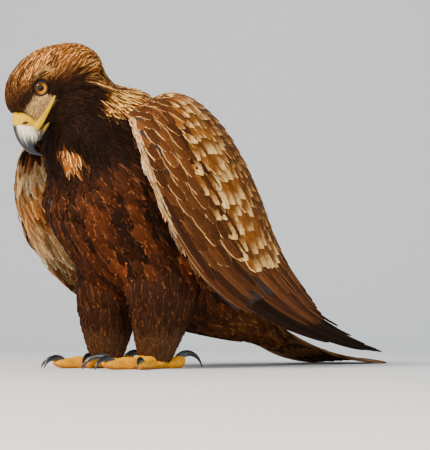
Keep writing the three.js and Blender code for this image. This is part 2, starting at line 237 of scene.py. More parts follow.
def to_head(points):
    return (points - eye_line) @ HEAD_AXES.T / MM


def track(rows, t):
    """Points at t, from 0 to 1, of a smooth curve through rows."""
    rows = np.asarray(rows, float)
    t = np.clip(np.asarray(t, float), 0, 1) * (len(rows) - 1)
    i = np.minimum(t.astype(int), len(rows) - 2)
    w = (t - i)[..., None]
    more = np.vstack([2 * rows[0] - rows[1], rows, 2 * rows[-1] - rows[-2]])
    a, b, c, d = (more[i + k] for k in range(4))
    from_b, from_c = (c - a) / 2, (d - b) / 2
    bend = 2 * b - 2 * c + from_b + from_c
    return ((bend * w - 3 * b + 3 * c - 2 * from_b - from_c) * w + from_b) * w + b


def heading(rows, t):
    """Direction of the track at t."""
    return unit(track(rows, np.add(t, 0.01)) - track(rows, np.subtract(t, 0.01)))


def ramp(low, high, value):
    """Smooth step from 0 at low to 1 at high."""
    w = np.clip((value - low) / (high - low), 0, 1)
    return w * w * (3 - 2 * w)


def bump_at(value, centre, width):
    """A smooth hill from 0 to 1 and back."""
    return np.exp(-(((value - centre) / width) ** 2))


print("origin mm:", (ORIGIN / MM).round(2), "head forward:", head_forward.round(3))

# %% [markdown]
# ## One skin under the whole coat
# A bird's skin runs without a seam from the bill to the toes. Copies of the flesh solids are
# joined, remeshed with small voxels and smoothed, which closes the thin cuts between them. That
# surface is the outline of the coat. The skin itself is the same surface drawn in by the depth of
# the coat, which is 1 to 2 mm on the face and about 5 mm on the breast.

# %% The coat's outline
FLESH = ["head", "neck", "trunk", "tail_coverts"]
FLESH += [side + part for side in ("left_", "right_") for part in ("thigh", "tarsus")]
HEAD, NECK, TRUNK, TAIL, *LEGS = range(len(FLESH))
VOXEL = 2.6 * MM


def joined_solids(nodes):
    """The places, the faces and each face's solid of some solids together."""
    verts, faces, owner = [], [], []
    for number, node in enumerate(nodes):
        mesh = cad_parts[node].data
        start = len(verts)
        verts += [tuple(v.co) for v in mesh.vertices]
        faces += [tuple(start + i for i in p.vertices) for p in mesh.polygons]
        owner += [number] * len(mesh.polygons)
    return verts, faces, owner


def change(obj, kind, **settings):
    """Adds a modifier with its settings."""
    modifier = obj.modifiers.new(kind.lower(), kind)
    for key, value in settings.items():
        setattr(modifier, key, value)
    return modifier


def baked(obj):
    """The object's mesh with its modifiers applied, in place of the old one."""
    shown = obj.evaluated_get(bpy.context.evaluated_depsgraph_get())
    mesh = bpy.data.meshes.new_from_object(shown)
    obj.modifiers.clear()
    obj.data = mesh
    mesh.name = obj.name
    return obj


def places(mesh):
    """Vertex places, vertex normals and edges as arrays."""
    n = len(mesh.vertices)
    co, normal = np.zeros(n * 3), np.zeros(n * 3)
    edges = np.zeros(len(mesh.edges) * 2, int)
    mesh.vertices.foreach_get("co", co)
    mesh.vertex_normals.foreach_get("vector", normal)
    mesh.edges.foreach_get("vertices", edges)
    return co.reshape(-1, 3), normal.reshape(-1, 3), edges.reshape(-1, 2)


flesh_verts, flesh_faces, flesh_owner = joined_solids(FLESH)
skin = mesh_object("skin", flesh_verts, flesh_faces)
change(skin, "WELD", merge_threshold=0.01 * MM)
change(skin, "REMESH", mode="VOXEL", voxel_size=VOXEL)
change(skin, "SMOOTH", factor=0.5, iterations=14)
place, normal, edges = places(baked(skin).data)
print("outline:", len(place), "points")


# %% [markdown]
# Each point of the outline learns which solid it came from, and which way the coat lies there:
# back from the bill on the head, down the spine on neck and trunk, and down the leg on the legs.
# Averaging both over neighbours many times makes every border soft.


# %% Regions and the lie of the coat
BODY = [
    (0, 284, 30), (0, 228, 49), (0, 174, 75), (0, 124, 108), (0, 80, 144), (0, 42, 184),
    (0, 10, 226), (0, -18, 262), (-2, -50, 283), (-3, -72, 310), (-7, -90, 322), (-11, -106, 328),
]
LEG = [(34, 62, 176), (42, 44, 134), (46, 28, 94), (47, 22, 58), (45, 19, 30), (43, 17, 9)]


def averaged(values, rounds):
    """values, a column for each field, averaged over the mesh's edges again and again."""
    a, b = edges.T
    count = np.bincount(np.concatenate([a, b]), minlength=len(place)) + 1.0
    for _ in range(rounds):
        spread = values.copy()
        for k in range(values.shape[1]):
            spread[:, k] += np.bincount(a, values[b, k], len(place))
            spread[:, k] += np.bincount(b, values[a, k], len(place))
        values = spread / count[:, None]
    return values


def nearest_on(rows, points):
    """Where along a curve through rows each point is nearest, from 0 to 1."""
    t = np.linspace(0, 1, 80)
    line = track(rows, t)
    return t[np.argmin(((points[:, None, :] - line[None]) ** 2).sum(-1), axis=1)]


def on_back(spots):
    """1 above the spine's line and 0 below it, for places in the rows' mm."""
    off = spots - track(BODY, nearest_on(BODY, spots))
    return ramp(-10, 35, off[:, 1] * 0.45 + off[:, 2] * 0.9)


owner_tree = BVHTree.FromPolygons(flesh_verts, flesh_faces)
owner = np.array([flesh_owner[owner_tree.find_nearest(p)[2]] for p in place.tolist()])
region = np.eye(len(FLESH))[owner]
spot = in_mm(place)
lie = -heading(BODY, nearest_on(BODY, spot))
over_nape = ramp(-42, -72, to_head(place)[:, :1])
on_head = -head_forward * (1 - over_nape) - head_up * over_nape
lie = np.where((owner == HEAD)[:, None], on_head, lie)
for hand, legs in ((1, LEGS[:2]), (-1, LEGS[2:])):
    on_leg = np.isin(owner, legs)
    leg = np.array(LEG) * (hand, 1, 1)
    lie[on_leg] = heading(leg, nearest_on(leg, spot[on_leg]))
lie = averaged(lie, 60)
region = averaged(region, 25)
BACK = on_back(spot)
print("points on each solid:", np.bincount(owner).tolist())

# %% [markdown]
# Feathers fill and round the outline in three places. Long ones bridge the hollow of the nape:
# where a much smoother surface lies further out, the coat does too. The throat is slim under the
# bill, and the breast below it swells towards the right wing. Round each eye the coat is pressed
# in, so that the ball and the lids come free of it.

# %% Bridge, throat, breast and eye sockets
smoother = averaged(place, 150)
hollow = np.maximum(0, ((smoother - place) * normal).sum(1, keepdims=True))
bridge = region[:, :2].sum(1, keepdims=True) * ramp(0, -22, to_head(place)[:, :1])
place = place + averaged(normal * hollow * bridge * 4.5, 20)

to_right = ramp(0.15, 0.85, -(normal[:, 0] + normal[:, 1]) * math.sqrt(0.5))
high = in_mm(place)[:, 2]
swell = 4.5 * bump_at(high, 200, 26) - 8.5 * bump_at(high, 268, 19)
on_front = region[:, :3].sum(1) * ramp(-10, -24, to_head(place)[:, 2])
place = place + averaged(normal * (swell * to_right * on_front * MM)[:, None], 8)

SOCKET, SOCKET_OUT = 8.4, 25.5  # the rim's radius, and how far out its floor is, in mm
ahead, beside, above = to_head(place).T
from_eye = np.hypot(ahead - EYE_AHEAD, above)
steep = 1.1 + 0.9 * ramp(2, 8, above)
room = SOCKET_OUT + steep * np.maximum(0, from_eye - SOCKET)
pressed = np.maximum(0, np.abs(beside) - room) * (ahead > -16) * (from_eye < 18)
place = place - (np.sign(beside) * pressed)[:, None] * head_left * MM

skin.data.vertices.foreach_set("co", place.ravel())
skin.data.update()
place, normal, edges = places(skin.data)
outline = BVHTree.FromPolygons(place.tolist(), [tuple(p.vertices) for p in skin.data.polygons])
lie = unit(square(lie, normal))
head_spot = to_head(place)
IN_HEAD, IN_NECK, IN_TRUNK, IN_TAIL = region[:, :4].T
THIGH, SHANK = region[:, 4] + region[:, 6], region[:, 5] + region[:, 7]
print("head points:", int((IN_HEAD > 0.5).sum()))

# %% [markdown]
# ## What the coat looks like, place by place
# The crown and the back of the neck are golden, the face and the throat are dark, the bare lores
# in front of the eye are pale, the breast is nearly black-brown with rusty streaks and one bright
# patch, and the thighs are dark. Plain functions of the place paint this, for the skin and for
# every feather alike, so nothing has to be copied from one to the other.

# %% Colours of skin and coat
# where the golden hackles start: (up, forward) behind the cheek and (forward, up) above the eye
CHEEK_LINE = [
    (-150, -50), (-113, -16), (-85, 8), (-72, 5), (-58, -10), (-46, -34), (-30, -33), (-15, -29),
    (-8, -9),
]
CROWN_LINE = [
    (-66, -90), (-50, -46), (-38, -30), (-31, -15), (-22, -11), (-11, -8), (-4, 4), (8, 10),
    (26, 18), (42, 24),
]


def along_line(value, line):
    return np.interp(value, *zip(*line))


def paint(base, code, amount):
    return base + (colour(code) - base) * np.clip(amount, 0, 1)[:, None]


def even(code, count):
    return np.tile(colour(code), (count, 1))


def coat_colours(points, region, head):
    """Ground and rim colours of the coat, and its marks (side rim, where the tip rim starts)."""
    x, y, z = in_mm(points).T
    f, side, u = head.T
    side = np.abs(side)
    in_head, in_neck, in_trunk, in_tail = region[:, :4].T
    thigh, shank = region[:, 4] + region[:, 6], region[:, 5] + region[:, 7]
    back = on_back(in_mm(points))
    front = 1 - back
    # breast: one bright patch high in the middle, rufous streaks lower down and on the flank
    waves = np.sin(x / 9 + 1.3) * np.sin(y / 11 + z / 17) + 0.5 * np.sin(x / 4.1 + z / 23)
    rusty = front * in_trunk * ramp(-0.7, 0.5, waves) * bump_at(z, 140, 75)
    rusty = rusty * (0.4 + 0.6 * ramp(0, 50, x))
    patch = bump_at(x, 17, 17) * bump_at(z, 258, 19) * front * (in_neck + in_trunk)
    patch = ramp(0.3, 0.75, patch + 0.16 * np.sin(x / 2.3 + z / 9) * np.sin(z / 6 + 1))
    cheek = front * in_neck * ramp(225, 262, z) * (1 - patch)
    # golden hackles on the nape and the sides of the neck, behind a line round the dark cheek
    behind = ramp(-4, 5, along_line(u, CHEEK_LINE) - f)
    gold = in_neck * behind * ramp(-165, -130, u) * ramp(-24, -13, 0.5 * u - 0.866 * f)
    # head: golden above the crown's line, with dark streaks that grow stronger forward
    above = ramp(-9, 8, u - along_line(f, CROWN_LINE))
    crown = in_head * np.maximum(above, behind * ramp(-6, -12, u))
    fore = ramp(-30, 15, f)
    wavy = np.sin(side * 0.62 + 1.2 * np.sin(f / 8)) + 0.6 * np.sin(side * 1.3 + u / 5 + f / 11)
    dark = crown * ramp(-0.2 - 0.5 * fore, 0.9 - 0.3 * fore, wavy) * (0.55 + 0.45 * fore)
    ear = in_head * bump_at(f, -30, 14) * bump_at(u, -14, 9)
    forehead = in_head * ramp(-2, 22, f) * ramp(-4, 4, u)
    bill_root = in_head * bump_at(f, 24, 11) * bump_at(u, 9.5, 4.5)
    # painted shade: a dark line above the eye, where the bony brow shades it
    brow_shade_line = in_head * bump_at(u - 11 - 0.33 * f, 0, 2.6) * ramp(7, 1, f) * ramp(-32, -22, f)
    lores = in_head * ramp(7, 12, f) * ramp(38, 34, f) * ramp(3, -2, u - 0.02 * f)
    lores = lores * ramp(-21, -17, u + 0.02 * f) * (0.75 + 0.25 * np.sin(u * 1.9 + f * 0.6))
    brow = in_head * bump_at(np.hypot(f + 1, u), 12.5, 1.8) * ramp(6, -4, f) * ramp(-9, -3, u)
    brow = brow * ramp(15, 20, side)
    ground, rim = even("#24140c", len(points)), even("#54301c", len(points))
    for ground_code, rim_code, amount, rim_amount in (
        ("#6b3519", "#b26b38", rusty, rusty),
        ("#95531f", "#f6bf74", patch, patch),
        ("#170d08", "#331d10", cheek, cheek),
        ("#3c2619", "#8d663c", back * (in_trunk + in_tail), back * (in_trunk + in_tail)),
        ("#5c3318", "#9a6530", front * in_tail, front * in_tail),
        ("#301b11", "#5f371d", thigh, thigh),
        ("#48301f", "#6d4a30", shank, shank),
        ("#633612", "#ffc56c", gold, gold * 1.3),
        ("#180e08", "#301b0c", in_head, in_head),
        ("#7a4517", "#ffc275", crown, crown),
        ("#2a170b", "#6a3e19", dark, dark),
        ("#6e3f1e", "#b0743a", ear * 0.8, ear * 0.8),
        ("#2a170d", "#70451f", forehead * 0.9, forehead * 0.85),
        ("#20120b", "#3a2416", bill_root, bill_root),
        ("#221208", "#3f2411", brow_shade_line, brow_shade_line),
        ("#b8925c", "#ffe2b0", lores, lores),
        ("#8a5f2e", "#dcae72", brow, brow),
    ):
        ground, rim = paint(ground, ground_code, amount), paint(rim, rim_code, rim_amount)
    side_rim = 0.2 + 0.12 * patch + 0.22 * gold + 0.2 * crown
    tip = 0.8 - 0.12 * gold
    return ground, rim, np.stack([side_rim, tip, 0 * tip], 1)


ground, _, _ = coat_colours(place, region, head_spot)
print("mean ground:", ground.mean(0).round(3))

# %% [markdown]
# The depth of the coat goes by the body's regions, and the skin is drawn in by it. A material
# reads the painted ground colour from the skin's points. It has a fine grain of down, because
# bare skin only shows in the gaps between feathers and on the lores.


# %% Draw the skin in and give it its finish
def give(mesh, name, kind, values):
    """Stores values on a mesh's points as a named attribute."""
    layer = mesh.attributes.new(name, kind, "POINT")
    values = np.asarray(values, np.float32)
    if kind == "FLOAT_COLOR":
        values = np.hstack([values, np.ones((len(values), 1), np.float32)])
    field = {"FLOAT_COLOR": "color", "FLOAT": "value", "FLOAT_VECTOR": "vector"}[kind]
    layer.data.foreach_set(field, values.ravel())


def surface(tree, shader, tint, level, grain, relief, strength=1.0):
    """Sends a colour times a level to the shader, and lets the grain raise the surface."""
    lit = add(tree, "ShaderNodeVectorMath", {0: tint, 3: level}, operation="SCALE")
    tree.links.new(lit.outputs["Vector"], shader.inputs["Base Color"])
    inputs = {"Height": (grain, "Fac"), "Distance": relief * MM, "Strength": strength}
    tree.links.new(add(tree, "ShaderNodeBump", inputs).outputs["Normal"], shader.inputs["Normal"])


def painted_finish(
    name, scale, levels, relief, detail=4.0, span=(0.3, 0.7), stretch=(1.0, 1.0, 1.0), **shine
):
    """The painted ground colour, made darker and paler between two levels by a noise."""
    made, tree, shader = material(name, **shine)
    where = add(tree, "ShaderNodeTexCoord")
    drawn = add(tree, "ShaderNodeMapping", {"Vector": (where, "Object"), "Scale": stretch})
    inputs = {"Vector": (drawn, "Vector"), "Scale": scale, "Detail": detail}
    grain = add(tree, "ShaderNodeTexNoise", inputs)
    limits = dict(zip(("From Min", "From Max", "To Min", "To Max"), span + levels))
    level = add(tree, "ShaderNodeMapRange", {"Value": (grain, "Fac"), **limits})
    ground = add(tree, "ShaderNodeAttribute", attribute_name="ground")
    surface(tree, shader, (ground, "Color"), (level, "Result"), grain, relief)
    return made


FACE = IN_HEAD * ramp(-14, 6, head_spot[:, 0])
depth = 5.5 * IN_TRUNK + 5 * IN_NECK + 4.5 * IN_TAIL + 5 * THIGH + 2.6 * SHANK
depth = depth + IN_HEAD * 2.2 - FACE * 1.1
skin.data.vertices.foreach_set("co", (place - normal * depth[:, None] * MM).ravel())
give(skin.data, "ground", "FLOAT_COLOR", ground * 0.7)
DOWN = painted_finish("downy skin", 900.0, (0.7, 1.25), 0.3, 3.0, (0.0, 1.0), Roughness=0.85)
skin.data.materials.append(DOWN)
claim(skin, FLESH)
print("skin triangles:", 2 * len(skin.data.polygons))
print("skin depth in mm:", depth.min().round(1), depth.max().round(1))


# %% [markdown]
# ## A vane, the one shape that makes every small feather
# A contour feather is a soft blade on a thin shaft. The vane here is a closed, flat diamond in
# section, one unit wide each way and one unit long. Four kinds cover the bird: a rounded one and
# a spear-tipped one for the wing, a frayed one for breast, legs and rump, with notches near its
# tip where the barbs part, and a pointed one for the hackles. Its map `Vane` runs from edge to
# edge and from root to tip.


# %% Four vanes
VANE_RISE = 0.1


def vane(name, rows):
    """rows are (half width, place of the edge, place of the middle) along the vane."""
    verts, faces, uv = [(0, 0, 0)], [], [(0.5, 0)]
    for w, edge, mid in rows:
        rise = VANE_RISE * min(1, 2.2 * w)
        verts += [(-w, edge, 0), (0, mid, rise), (w, edge, 0), (0, mid, -rise)]
        uv += [(0, edge), (0.5, mid), (1, edge), (0.5, mid)]
    verts.append((0, 1, 0))
    uv.append((0.5, 1))
    last = len(verts) - 1
    for k in range(4):
        faces.append((0, 1 + k, 1 + (k + 1) % 4))
        faces.append((last, last - 4 + (k + 1) % 4, last - 4 + k))
        for i in range(len(rows) - 1):
            a, b = 1 + 4 * i + k, 1 + 4 * i + (k + 1) % 4
            faces.append((a, a + 4, b + 4, b))
    mesh = bpy.data.meshes.new(name)
    mesh.from_pydata(verts, [], faces)
    mesh.polygons.foreach_set("use_smooth", [True] * len(faces))
    layer = mesh.uv_layers.new(name="Vane")
    for loop in mesh.loops:
        layer.uv[loop.index].vector = uv[loop.vertex_index]
    sharp = mesh.attributes.new("sharp_edge", "BOOLEAN", "EDGE")
    rim_points = {1 + 4 * i + k for i in range(len(rows)) for k in (0, 2)} | {0, last}
    for edge in mesh.edges:
        sharp.data[edge.index].value = set(edge.vertices) <= rim_points
    return bpy.data.objects.new(name, mesh)


def plain(*rows):
    """Rows whose edge and middle are at one place."""
    return [(w, at, at) for w, at in rows]


ROUNDED_TIP = [(0.86, 0.83, 0.85), (0.5, 0.95, 0.96)]
ROUNDED = vane("rounded vane", plain((0.45, 0.12), (0.85, 0.36), (1, 0.62)) + ROUNDED_TIP)
FRAYED_TIP = [
    (1, 0.68, 0.6), (0.66, 0.6, 0.7), (0.72, 0.88, 0.8), (0.36, 0.76, 0.86), (0.3, 0.97, 0.93),
]
FRAYED = vane("frayed vane", plain((0.4, 0.12), (0.85, 0.38)) + FRAYED_TIP)
POINTED = vane("pointed vane", plain((0.5, 0.1), (1, 0.36), (0.84, 0.62), (0.5, 0.82)))
SPEAR = vane("spear-tipped vane", plain((0.45, 0.1), (0.9, 0.34), (1, 0.64), (0.66, 0.86)))
print("vane faces:", [len(v.data.polygons) for v in (ROUNDED, FRAYED, POINTED, SPEAR)])


# %% [markdown]
# ## The tree that lays the feathers
# Each root is a point that carries the feather's direction, length, width, bend and colours. The
# tree puts a vane on each point, turns its length along the coat and its face outwards, makes the
# vanes real, then bends each one over the body. It also writes the map `OFBake`, where each
# feather is a small patch at its root's place on an unwrap of the body.


# %% Feather tree
def feather_tree():
    tree = bpy.data.node_groups.new("laid feathers", "GeometryNodeTree")
    sockets = {"Roots": "Geometry", "Vane": "Object", "Thickness": "Float", "Patch Size": "Float"}
    for name, kind in {**sockets, "Material": "Material"}.items():
        tree.interface.new_socket(name, in_out="INPUT", socket_type="NodeSocket" + kind)
    tree.interface.new_socket("Feathers", in_out="OUTPUT", socket_type="NodeSocketGeometry")
    given, out = add(tree, "NodeGroupInput"), add(tree, "NodeGroupOutput")
    maths = maths_in(tree)

    def named(name, kind="FLOAT_VECTOR"):
        return add(tree, "GeometryNodeInputNamedAttribute", {"Name": name}, data_type=kind), "Attribute"

    def number(name):
        return named(name, "FLOAT")

    def scaled(vector, by):
        return add(tree, "ShaderNodeVectorMath", {0: vector, 3: by}, operation="SCALE"), "Vector"

    def plus(a, b):
        return add(tree, "ShaderNodeVectorMath", {0: a, 1: b}, operation="ADD"), "Vector"

    def geometry(kind, inputs, **settings):
        return add(tree, "GeometryNode" + kind, inputs, **settings), "Geometry"

    axes = {"Primary Axis": named("chord"), "Secondary Axis": named("rise")}
    turn = add(tree, "FunctionNodeAxesToRotation", axes, primary_axis="Y", secondary_axis="Z")
    sizes = {"X": number("half_width"), "Y": number("length"), "Z": (given, "Thickness")}
    size = add(tree, "ShaderNodeCombineXYZ", sizes)
    shape = geometry("ObjectInfo", {"Object": (given, "Vane")})
    laid = {"Points": (given, "Roots"), "Instance": shape}
    laid.update({"Rotation": (turn, "Rotation"), "Scale": (size, "Vector")})
    placed = add(tree, "GeometryNodeInstanceOnPoints", laid)
    real = geometry("RealizeInstances", {"Geometry": (placed, "Instances")})
    chart = named("Vane")
    parts = add(tree, "ShaderNodeSeparateXYZ", {"Vector": chart})
    across, up = (parts, "X"), (parts, "Y")
    arch = maths("MULTIPLY", maths("MULTIPLY", up, maths("SUBTRACT", 1.0, up)), 4.0)
    off = maths("MULTIPLY_ADD", across, 2.0, -1.0)
    droop = maths("MULTIPLY", maths("MULTIPLY", off, off), maths("MULTIPLY", number("camber"), -1.0))
    lift = maths("ADD", maths("MULTIPLY", arch, number("bulge")), maths("MULTIPLY", droop, up))
    sideways = maths("MULTIPLY", arch, number("sweep"))
    shift = plus(scaled(named("rise"), lift), scaled(named("across"), sideways))
    bent = geometry("SetPosition", {"Geometry": real, "Offset": shift})
    patch = plus(named("spot"), scaled(plus(chart, (-0.5, -0.5, 0.0)), (given, "Patch Size")))
    mapped = {"Geometry": bent, "Name": "OFBake", "Value": patch}
    mapped = geometry("StoreNamedAttribute", mapped, data_type="FLOAT2", domain="CORNER")
    done, _ = geometry("SetMaterial", {"Geometry": mapped, "Material": (given, "Material")})
    tree.links.new(done.outputs["Geometry"], out.inputs["Feathers"])
    return tree


FEATHER_TREE = feather_tree()


def feathers(name, shape, finish, rows, nodes, patch=0.003, thickness=4.0):
    """One mesh of laid feathers from rows of root values; thickness is in mm."""
    holder = mesh_object(name, rows["root"], [])
    for key, values in rows.items():
        tint = key in ("ground", "rim")
        kind = "FLOAT" if values.ndim == 1 else "FLOAT_COLOR" if tint else "FLOAT_VECTOR"
        if key != "root":
            give(holder.data, key, kind, values)
    laid = change(holder, "NODES", node_group=FEATHER_TREE)
    chosen = {"Vane": shape, "Thickness": thickness * MM, "Patch Size": patch, "Material": finish}
    for item in FEATHER_TREE.interface.items_tree:
        if item.name in chosen:
            laid[item.identifier] = chosen[item.name]
    baked(holder)
    for spare in set(rows) - {"root", "ground", "rim", "marks"}:
        holder.data.attributes.remove(holder.data.attributes[spare])
    claim(holder, nodes)
    print(name, len(rows["root"]), "feathers,", len(holder.data.polygons), "faces")


print("feather tree nodes:", len(FEATHER_TREE.nodes))


# %% [markdown]
# ## Feather finish
# Feathers are keratin, the stuff of nails, but their fine barbs scatter the light, so they are
# almost matt. The barbs leave the shaft at a slant, so the colour runs in slanted streaks and the
# light catches a faint grain. The rim colour comes in along the edges and the tip by the amounts
# each feather carries, and its border is made uneven by noise.


# %% Feather material
def feather_finish(name, roughness, streaks=46.0, contrast=0.3, shaft="#2a1a10", ragged=0.25, fade=0.2):
    """ragged is how uneven the rim's border is, and fade how softly the tip's colour starts."""
    made, tree, shader = material(name, Roughness=roughness, Specular_IOR_Level=0.03)
    maths = maths_in(tree)

    def step(value, low, high):
        inputs = {"Value": value, "From Min": low, "From Max": high}
        return add(tree, "ShaderNodeMapRange", inputs, interpolation_type="SMOOTHSTEP"), "Result"

    def mixed(a, b, amount):
        return add(tree, "ShaderNodeMix", {0: amount, 6: a, 7: b}, data_type="RGBA"), 2

    def noise(vector, scale):
        return add(tree, "ShaderNodeTexNoise", {"Vector": vector, "Scale": scale, "Detail": 2.0})

    def stored(name, output):
        return add(tree, "ShaderNodeAttribute", attribute_name=name), output

    chart = add(tree, "ShaderNodeUVMap", uv_map="Vane")
    parts = add(tree, "ShaderNodeSeparateXYZ", {"Vector": (chart, "UV")})
    across, up = (parts, "X"), (parts, "Y")
    edge = maths("ABSOLUTE", maths("MULTIPLY_ADD", across, 2.0, -1.0))
    where = (add(tree, "ShaderNodeTexCoord"), "Object")
    wobble = maths("MULTIPLY_ADD", (noise(where, 260.0), "Fac"), ragged * 2, -ragged)
    slant = maths("MULTIPLY_ADD", edge, -0.3, up)
    lines = {"X": maths("MULTIPLY", slant, streaks), "Y": maths("MULTIPLY", across, 3.0)}
    lines = (add(tree, "ShaderNodeCombineXYZ", lines), "Vector")
    inputs = {0: where, 1: (60.0, 60.0, 60.0), 2: lines}
    barbs = noise((add(tree, "ShaderNodeVectorMath", inputs, operation="MULTIPLY_ADD"), "Vector"), 1.0)
    mark = add(tree, "ShaderNodeSeparateXYZ", {"Vector": stored("marks", "Vector")})
    side_rim, tip_rim, bars = ((mark, axis) for axis in "XYZ")
    edge_from = maths("SUBTRACT", 1.0, side_rim)
    on_edge = step(maths("ADD", edge, wobble), edge_from, maths("ADD", edge_from, 0.09))
    on_tip = step(maths("ADD", slant, wobble), tip_rim, maths("ADD", tip_rim, fade))
    rimmed = maths("MAXIMUM", maths("MULTIPLY", on_edge, step(up, 0.05, 0.4)), on_tip)
    wave = maths("SINE", maths("MULTIPLY", maths("MULTIPLY_ADD", edge, 0.12, up), 40.0))
    barred = maths("MULTIPLY", step(maths("ADD", wave, wobble), 0.1, 0.6), bars)
    body = mixed(stored("ground", "Color"), stored("rim", "Color"), rimmed)
    body = mixed(body, rgba("#2b1c14"), barred)
    body = mixed(body, rgba(shaft), maths("MULTIPLY", step(edge, 0.09, 0.03), 0.55))
    level = maths("MULTIPLY_ADD", step((barbs, "Fac"), 0.3, 0.7), contrast * 2, 1 - contrast)
    surface(tree, shader, body, level, barbs, 0.35, 0.6)
    return made


SOFT = feather_finish("soft contour feather", 0.66, contrast=0.38)
print("feather finish nodes:", len(SOFT.node_tree.nodes))

# %% [markdown]
# ## Roots over the whole body
# Real feathers grow in an even, staggered spread that is dense on the face and wide on the back.
# Points are scattered at random with a fixed seed, more where feathers are small. Then they are
# taken one by one, and each one taken clears its neighbours within its own spacing.

# %% Feather sizes and roots
rng = np.random.default_rng(7)
HEAD_BACK, NAPE = ramp(25, -45, head_spot[:, 0]), ramp(-50, -70, head_spot[:, 0])
length = IN_HEAD * (5.6 + 17 * HEAD_BACK + 10 * NAPE) + IN_NECK * (28 + 10 * BACK)
length = length + IN_TRUNK * (38 + 8 * BACK) + IN_TAIL * (50 + 8 * BACK) + THIGH * 38 + SHANK * 14
half_width = IN_HEAD * (1.2 + 1.7 * HEAD_BACK) + IN_NECK * (4.6 - 0.8 * BACK)
half_width = half_width + IN_TRUNK * (6.8 + 4 * BACK) + IN_TAIL * 9 + THIGH * 5.6 + SHANK * 2.8
spacing = half_width * 0.85 + length * 0.05

mesh = skin.data
mesh.calc_loop_triangles()
corners = np.zeros(len(mesh.loop_triangles) * 3, int)
mesh.loop_triangles.foreach_get("vertices", corners)
corners = corners.reshape(-1, 3)
a, b, c = (place[corners[:, k]] for k in range(3))
area = np.linalg.norm(np.cross(b - a, c - a), axis=1) / 2
weight = area / (spacing[corners].mean(1) * MM) ** 2
TRIES_PER_PLACE = 9
tries = int(weight.sum() * TRIES_PER_PLACE)
face = rng.choice(len(corners), tries, p=weight / weight.sum())
mixing = rng.dirichlet((1, 1, 1), tries)


def at_tries(values):
    """A field's values at the scattered points."""
    values = values[corners[face]]
    return (values * (mixing if values.ndim == 2 else mixing[..., None])).sum(1)


tried, clear = at_tries(place), at_tries(spacing) * MM
near = KDTree(tries)
for i, p in enumerate(tried.tolist()):
    near.insert(p, i)
near.balance()
free, kept = np.ones(tries, bool), []
for i in range(tries):
    if free[i]:
        kept.append(i)
        free[[j for _, j, _ in near.find_range(tried[i], clear[i])]] = False
kept = np.array(kept)
print("scattered:", tries, "roots kept:", len(kept))

# %% [markdown]
# Each feather starts inside the coat, and its tip comes to rest on the outline a feather's length
# further down the lie, some tips a little higher than others. Its chord is the straight way
# between them, and its bulge lifts its middle to the outline where the body is round.


# %% Lay every body feather
def at_roots(values):
    return at_tries(values)[kept]


root_at, root_normal, root_depth = at_roots(place), unit(at_roots(normal)), at_roots(depth)
root_lie = unit(square(at_roots(lie), root_normal))
root_region = at_roots(region)
root_length = at_roots(length) * rng.uniform(0.85, 1.15, len(kept))
root_half = at_roots(half_width) * rng.uniform(0.88, 1.12, len(kept))
swing = rng.normal(0, 0.09, len(kept))[:, None]
root_lie = unit(root_lie + swing * np.cross(root_normal, root_lie))


def on_outline(points, what=0):
    """The outline's nearest places, or its normals there with what=1."""
    return np.array([tuple(outline.find_nearest(p)[what]) for p in points.tolist()])


reach = root_at + root_lie * root_length[:, None] * MM
tip_at, mid_at, tip_normal = on_outline(reach), on_outline((root_at + reach) / 2), on_outline(reach, 1)
sunk = root_at - root_normal * (0.75 * root_depth)[:, None] * MM
stand = rng.uniform(-0.3, 0.9, len(kept)) * root_half * 0.4
raised = tip_at + tip_normal * (stand * MM)[:, None]
chord = raised - sunk
rise = square(root_normal, unit(chord))
rise = unit(square(unit(rise + (tip_normal - root_normal) * 0.5), unit(chord)))
bulge = ((mid_at - (sunk + raised) / 2) * rise).sum(1) - 0.25 * root_depth * MM
bulge = np.clip(bulge, -1.5 * MM, 0.12 * root_length * MM)
print("feather lengths mm:", root_length.min().round(1), "to", root_length.max().round(1))

# %% [markdown]
# ## Unwrap of the body
# The bake map needs each root's place on a flat map of the body. One direction goes round the
# body and the other goes along it, from the bill to the tail. The legs get strips of their own.


# %% Places on the bake map
def turned(sideways, other):
    """How far round a curve a place is, from 0 to 1."""
    return np.arctan2(sideways, other) / (2 * np.pi) + 0.5


BODY_STRIP, LEG_STRIP, LEG_STRIPS = 0.71, 0.11, (0.74, 0.88)
SPINE = BODY + [tuple(in_mm(in_head(f, 0, u))) for f, u in ((-8, -6), (14, -8), (40, -12))]
sunk_spot = in_mm(sunk)
t_spine = nearest_on(SPINE, sunk_spot)
x, y, z = (sunk_spot - track(SPINE, t_spine)).T
on_body = 0.01 + BODY_STRIP * turned(x, z + y * 0.5)
on_legs = root_region[:, 4:].sum(1) > 0.5
is_left = sunk_spot[:, 0] > 0
leg_place = sunk_spot * np.where(is_left[:, None], 1, (-1, 1, 1))
t_leg = nearest_on(LEG, leg_place)
x, y, _ = (leg_place - track(LEG, t_leg)).T
spot_u = np.where(on_legs, np.where(is_left, *LEG_STRIPS) + LEG_STRIP * turned(x, y), on_body)
order = np.where(on_legs, t_leg, t_spine)
spot_v = np.zeros(len(kept))
for group in (on_legs, ~on_legs):
    spot_v[group] = np.argsort(np.argsort(order[group])) / group.sum()

root_ground, root_rim, root_marks = coat_colours(root_at, root_region, to_head(root_at))
tone = rng.uniform(0.74, 1.26, (len(kept), 1))
root_marks = root_marks + rng.normal(0, 0.05, root_marks.shape) * [1, 1, 0]
rows = {
    "root": sunk, "chord": chord, "rise": rise, "across": np.cross(unit(chord), rise),
    "half_width": root_half * MM, "length": np.linalg.norm(chord, axis=1), "bulge": bulge,
    "camber": root_half * 0.3 * MM, "sweep": rng.normal(0, 0.03, len(kept)) * root_length * MM,
    "ground": root_ground * tone, "rim": root_rim * tone, "marks": root_marks,
    "spot": np.stack([spot_u, 0.01 + 0.98 * spot_v, 0 * spot_u], 1),
}
print("roots on the legs:", int(on_legs.sum()))

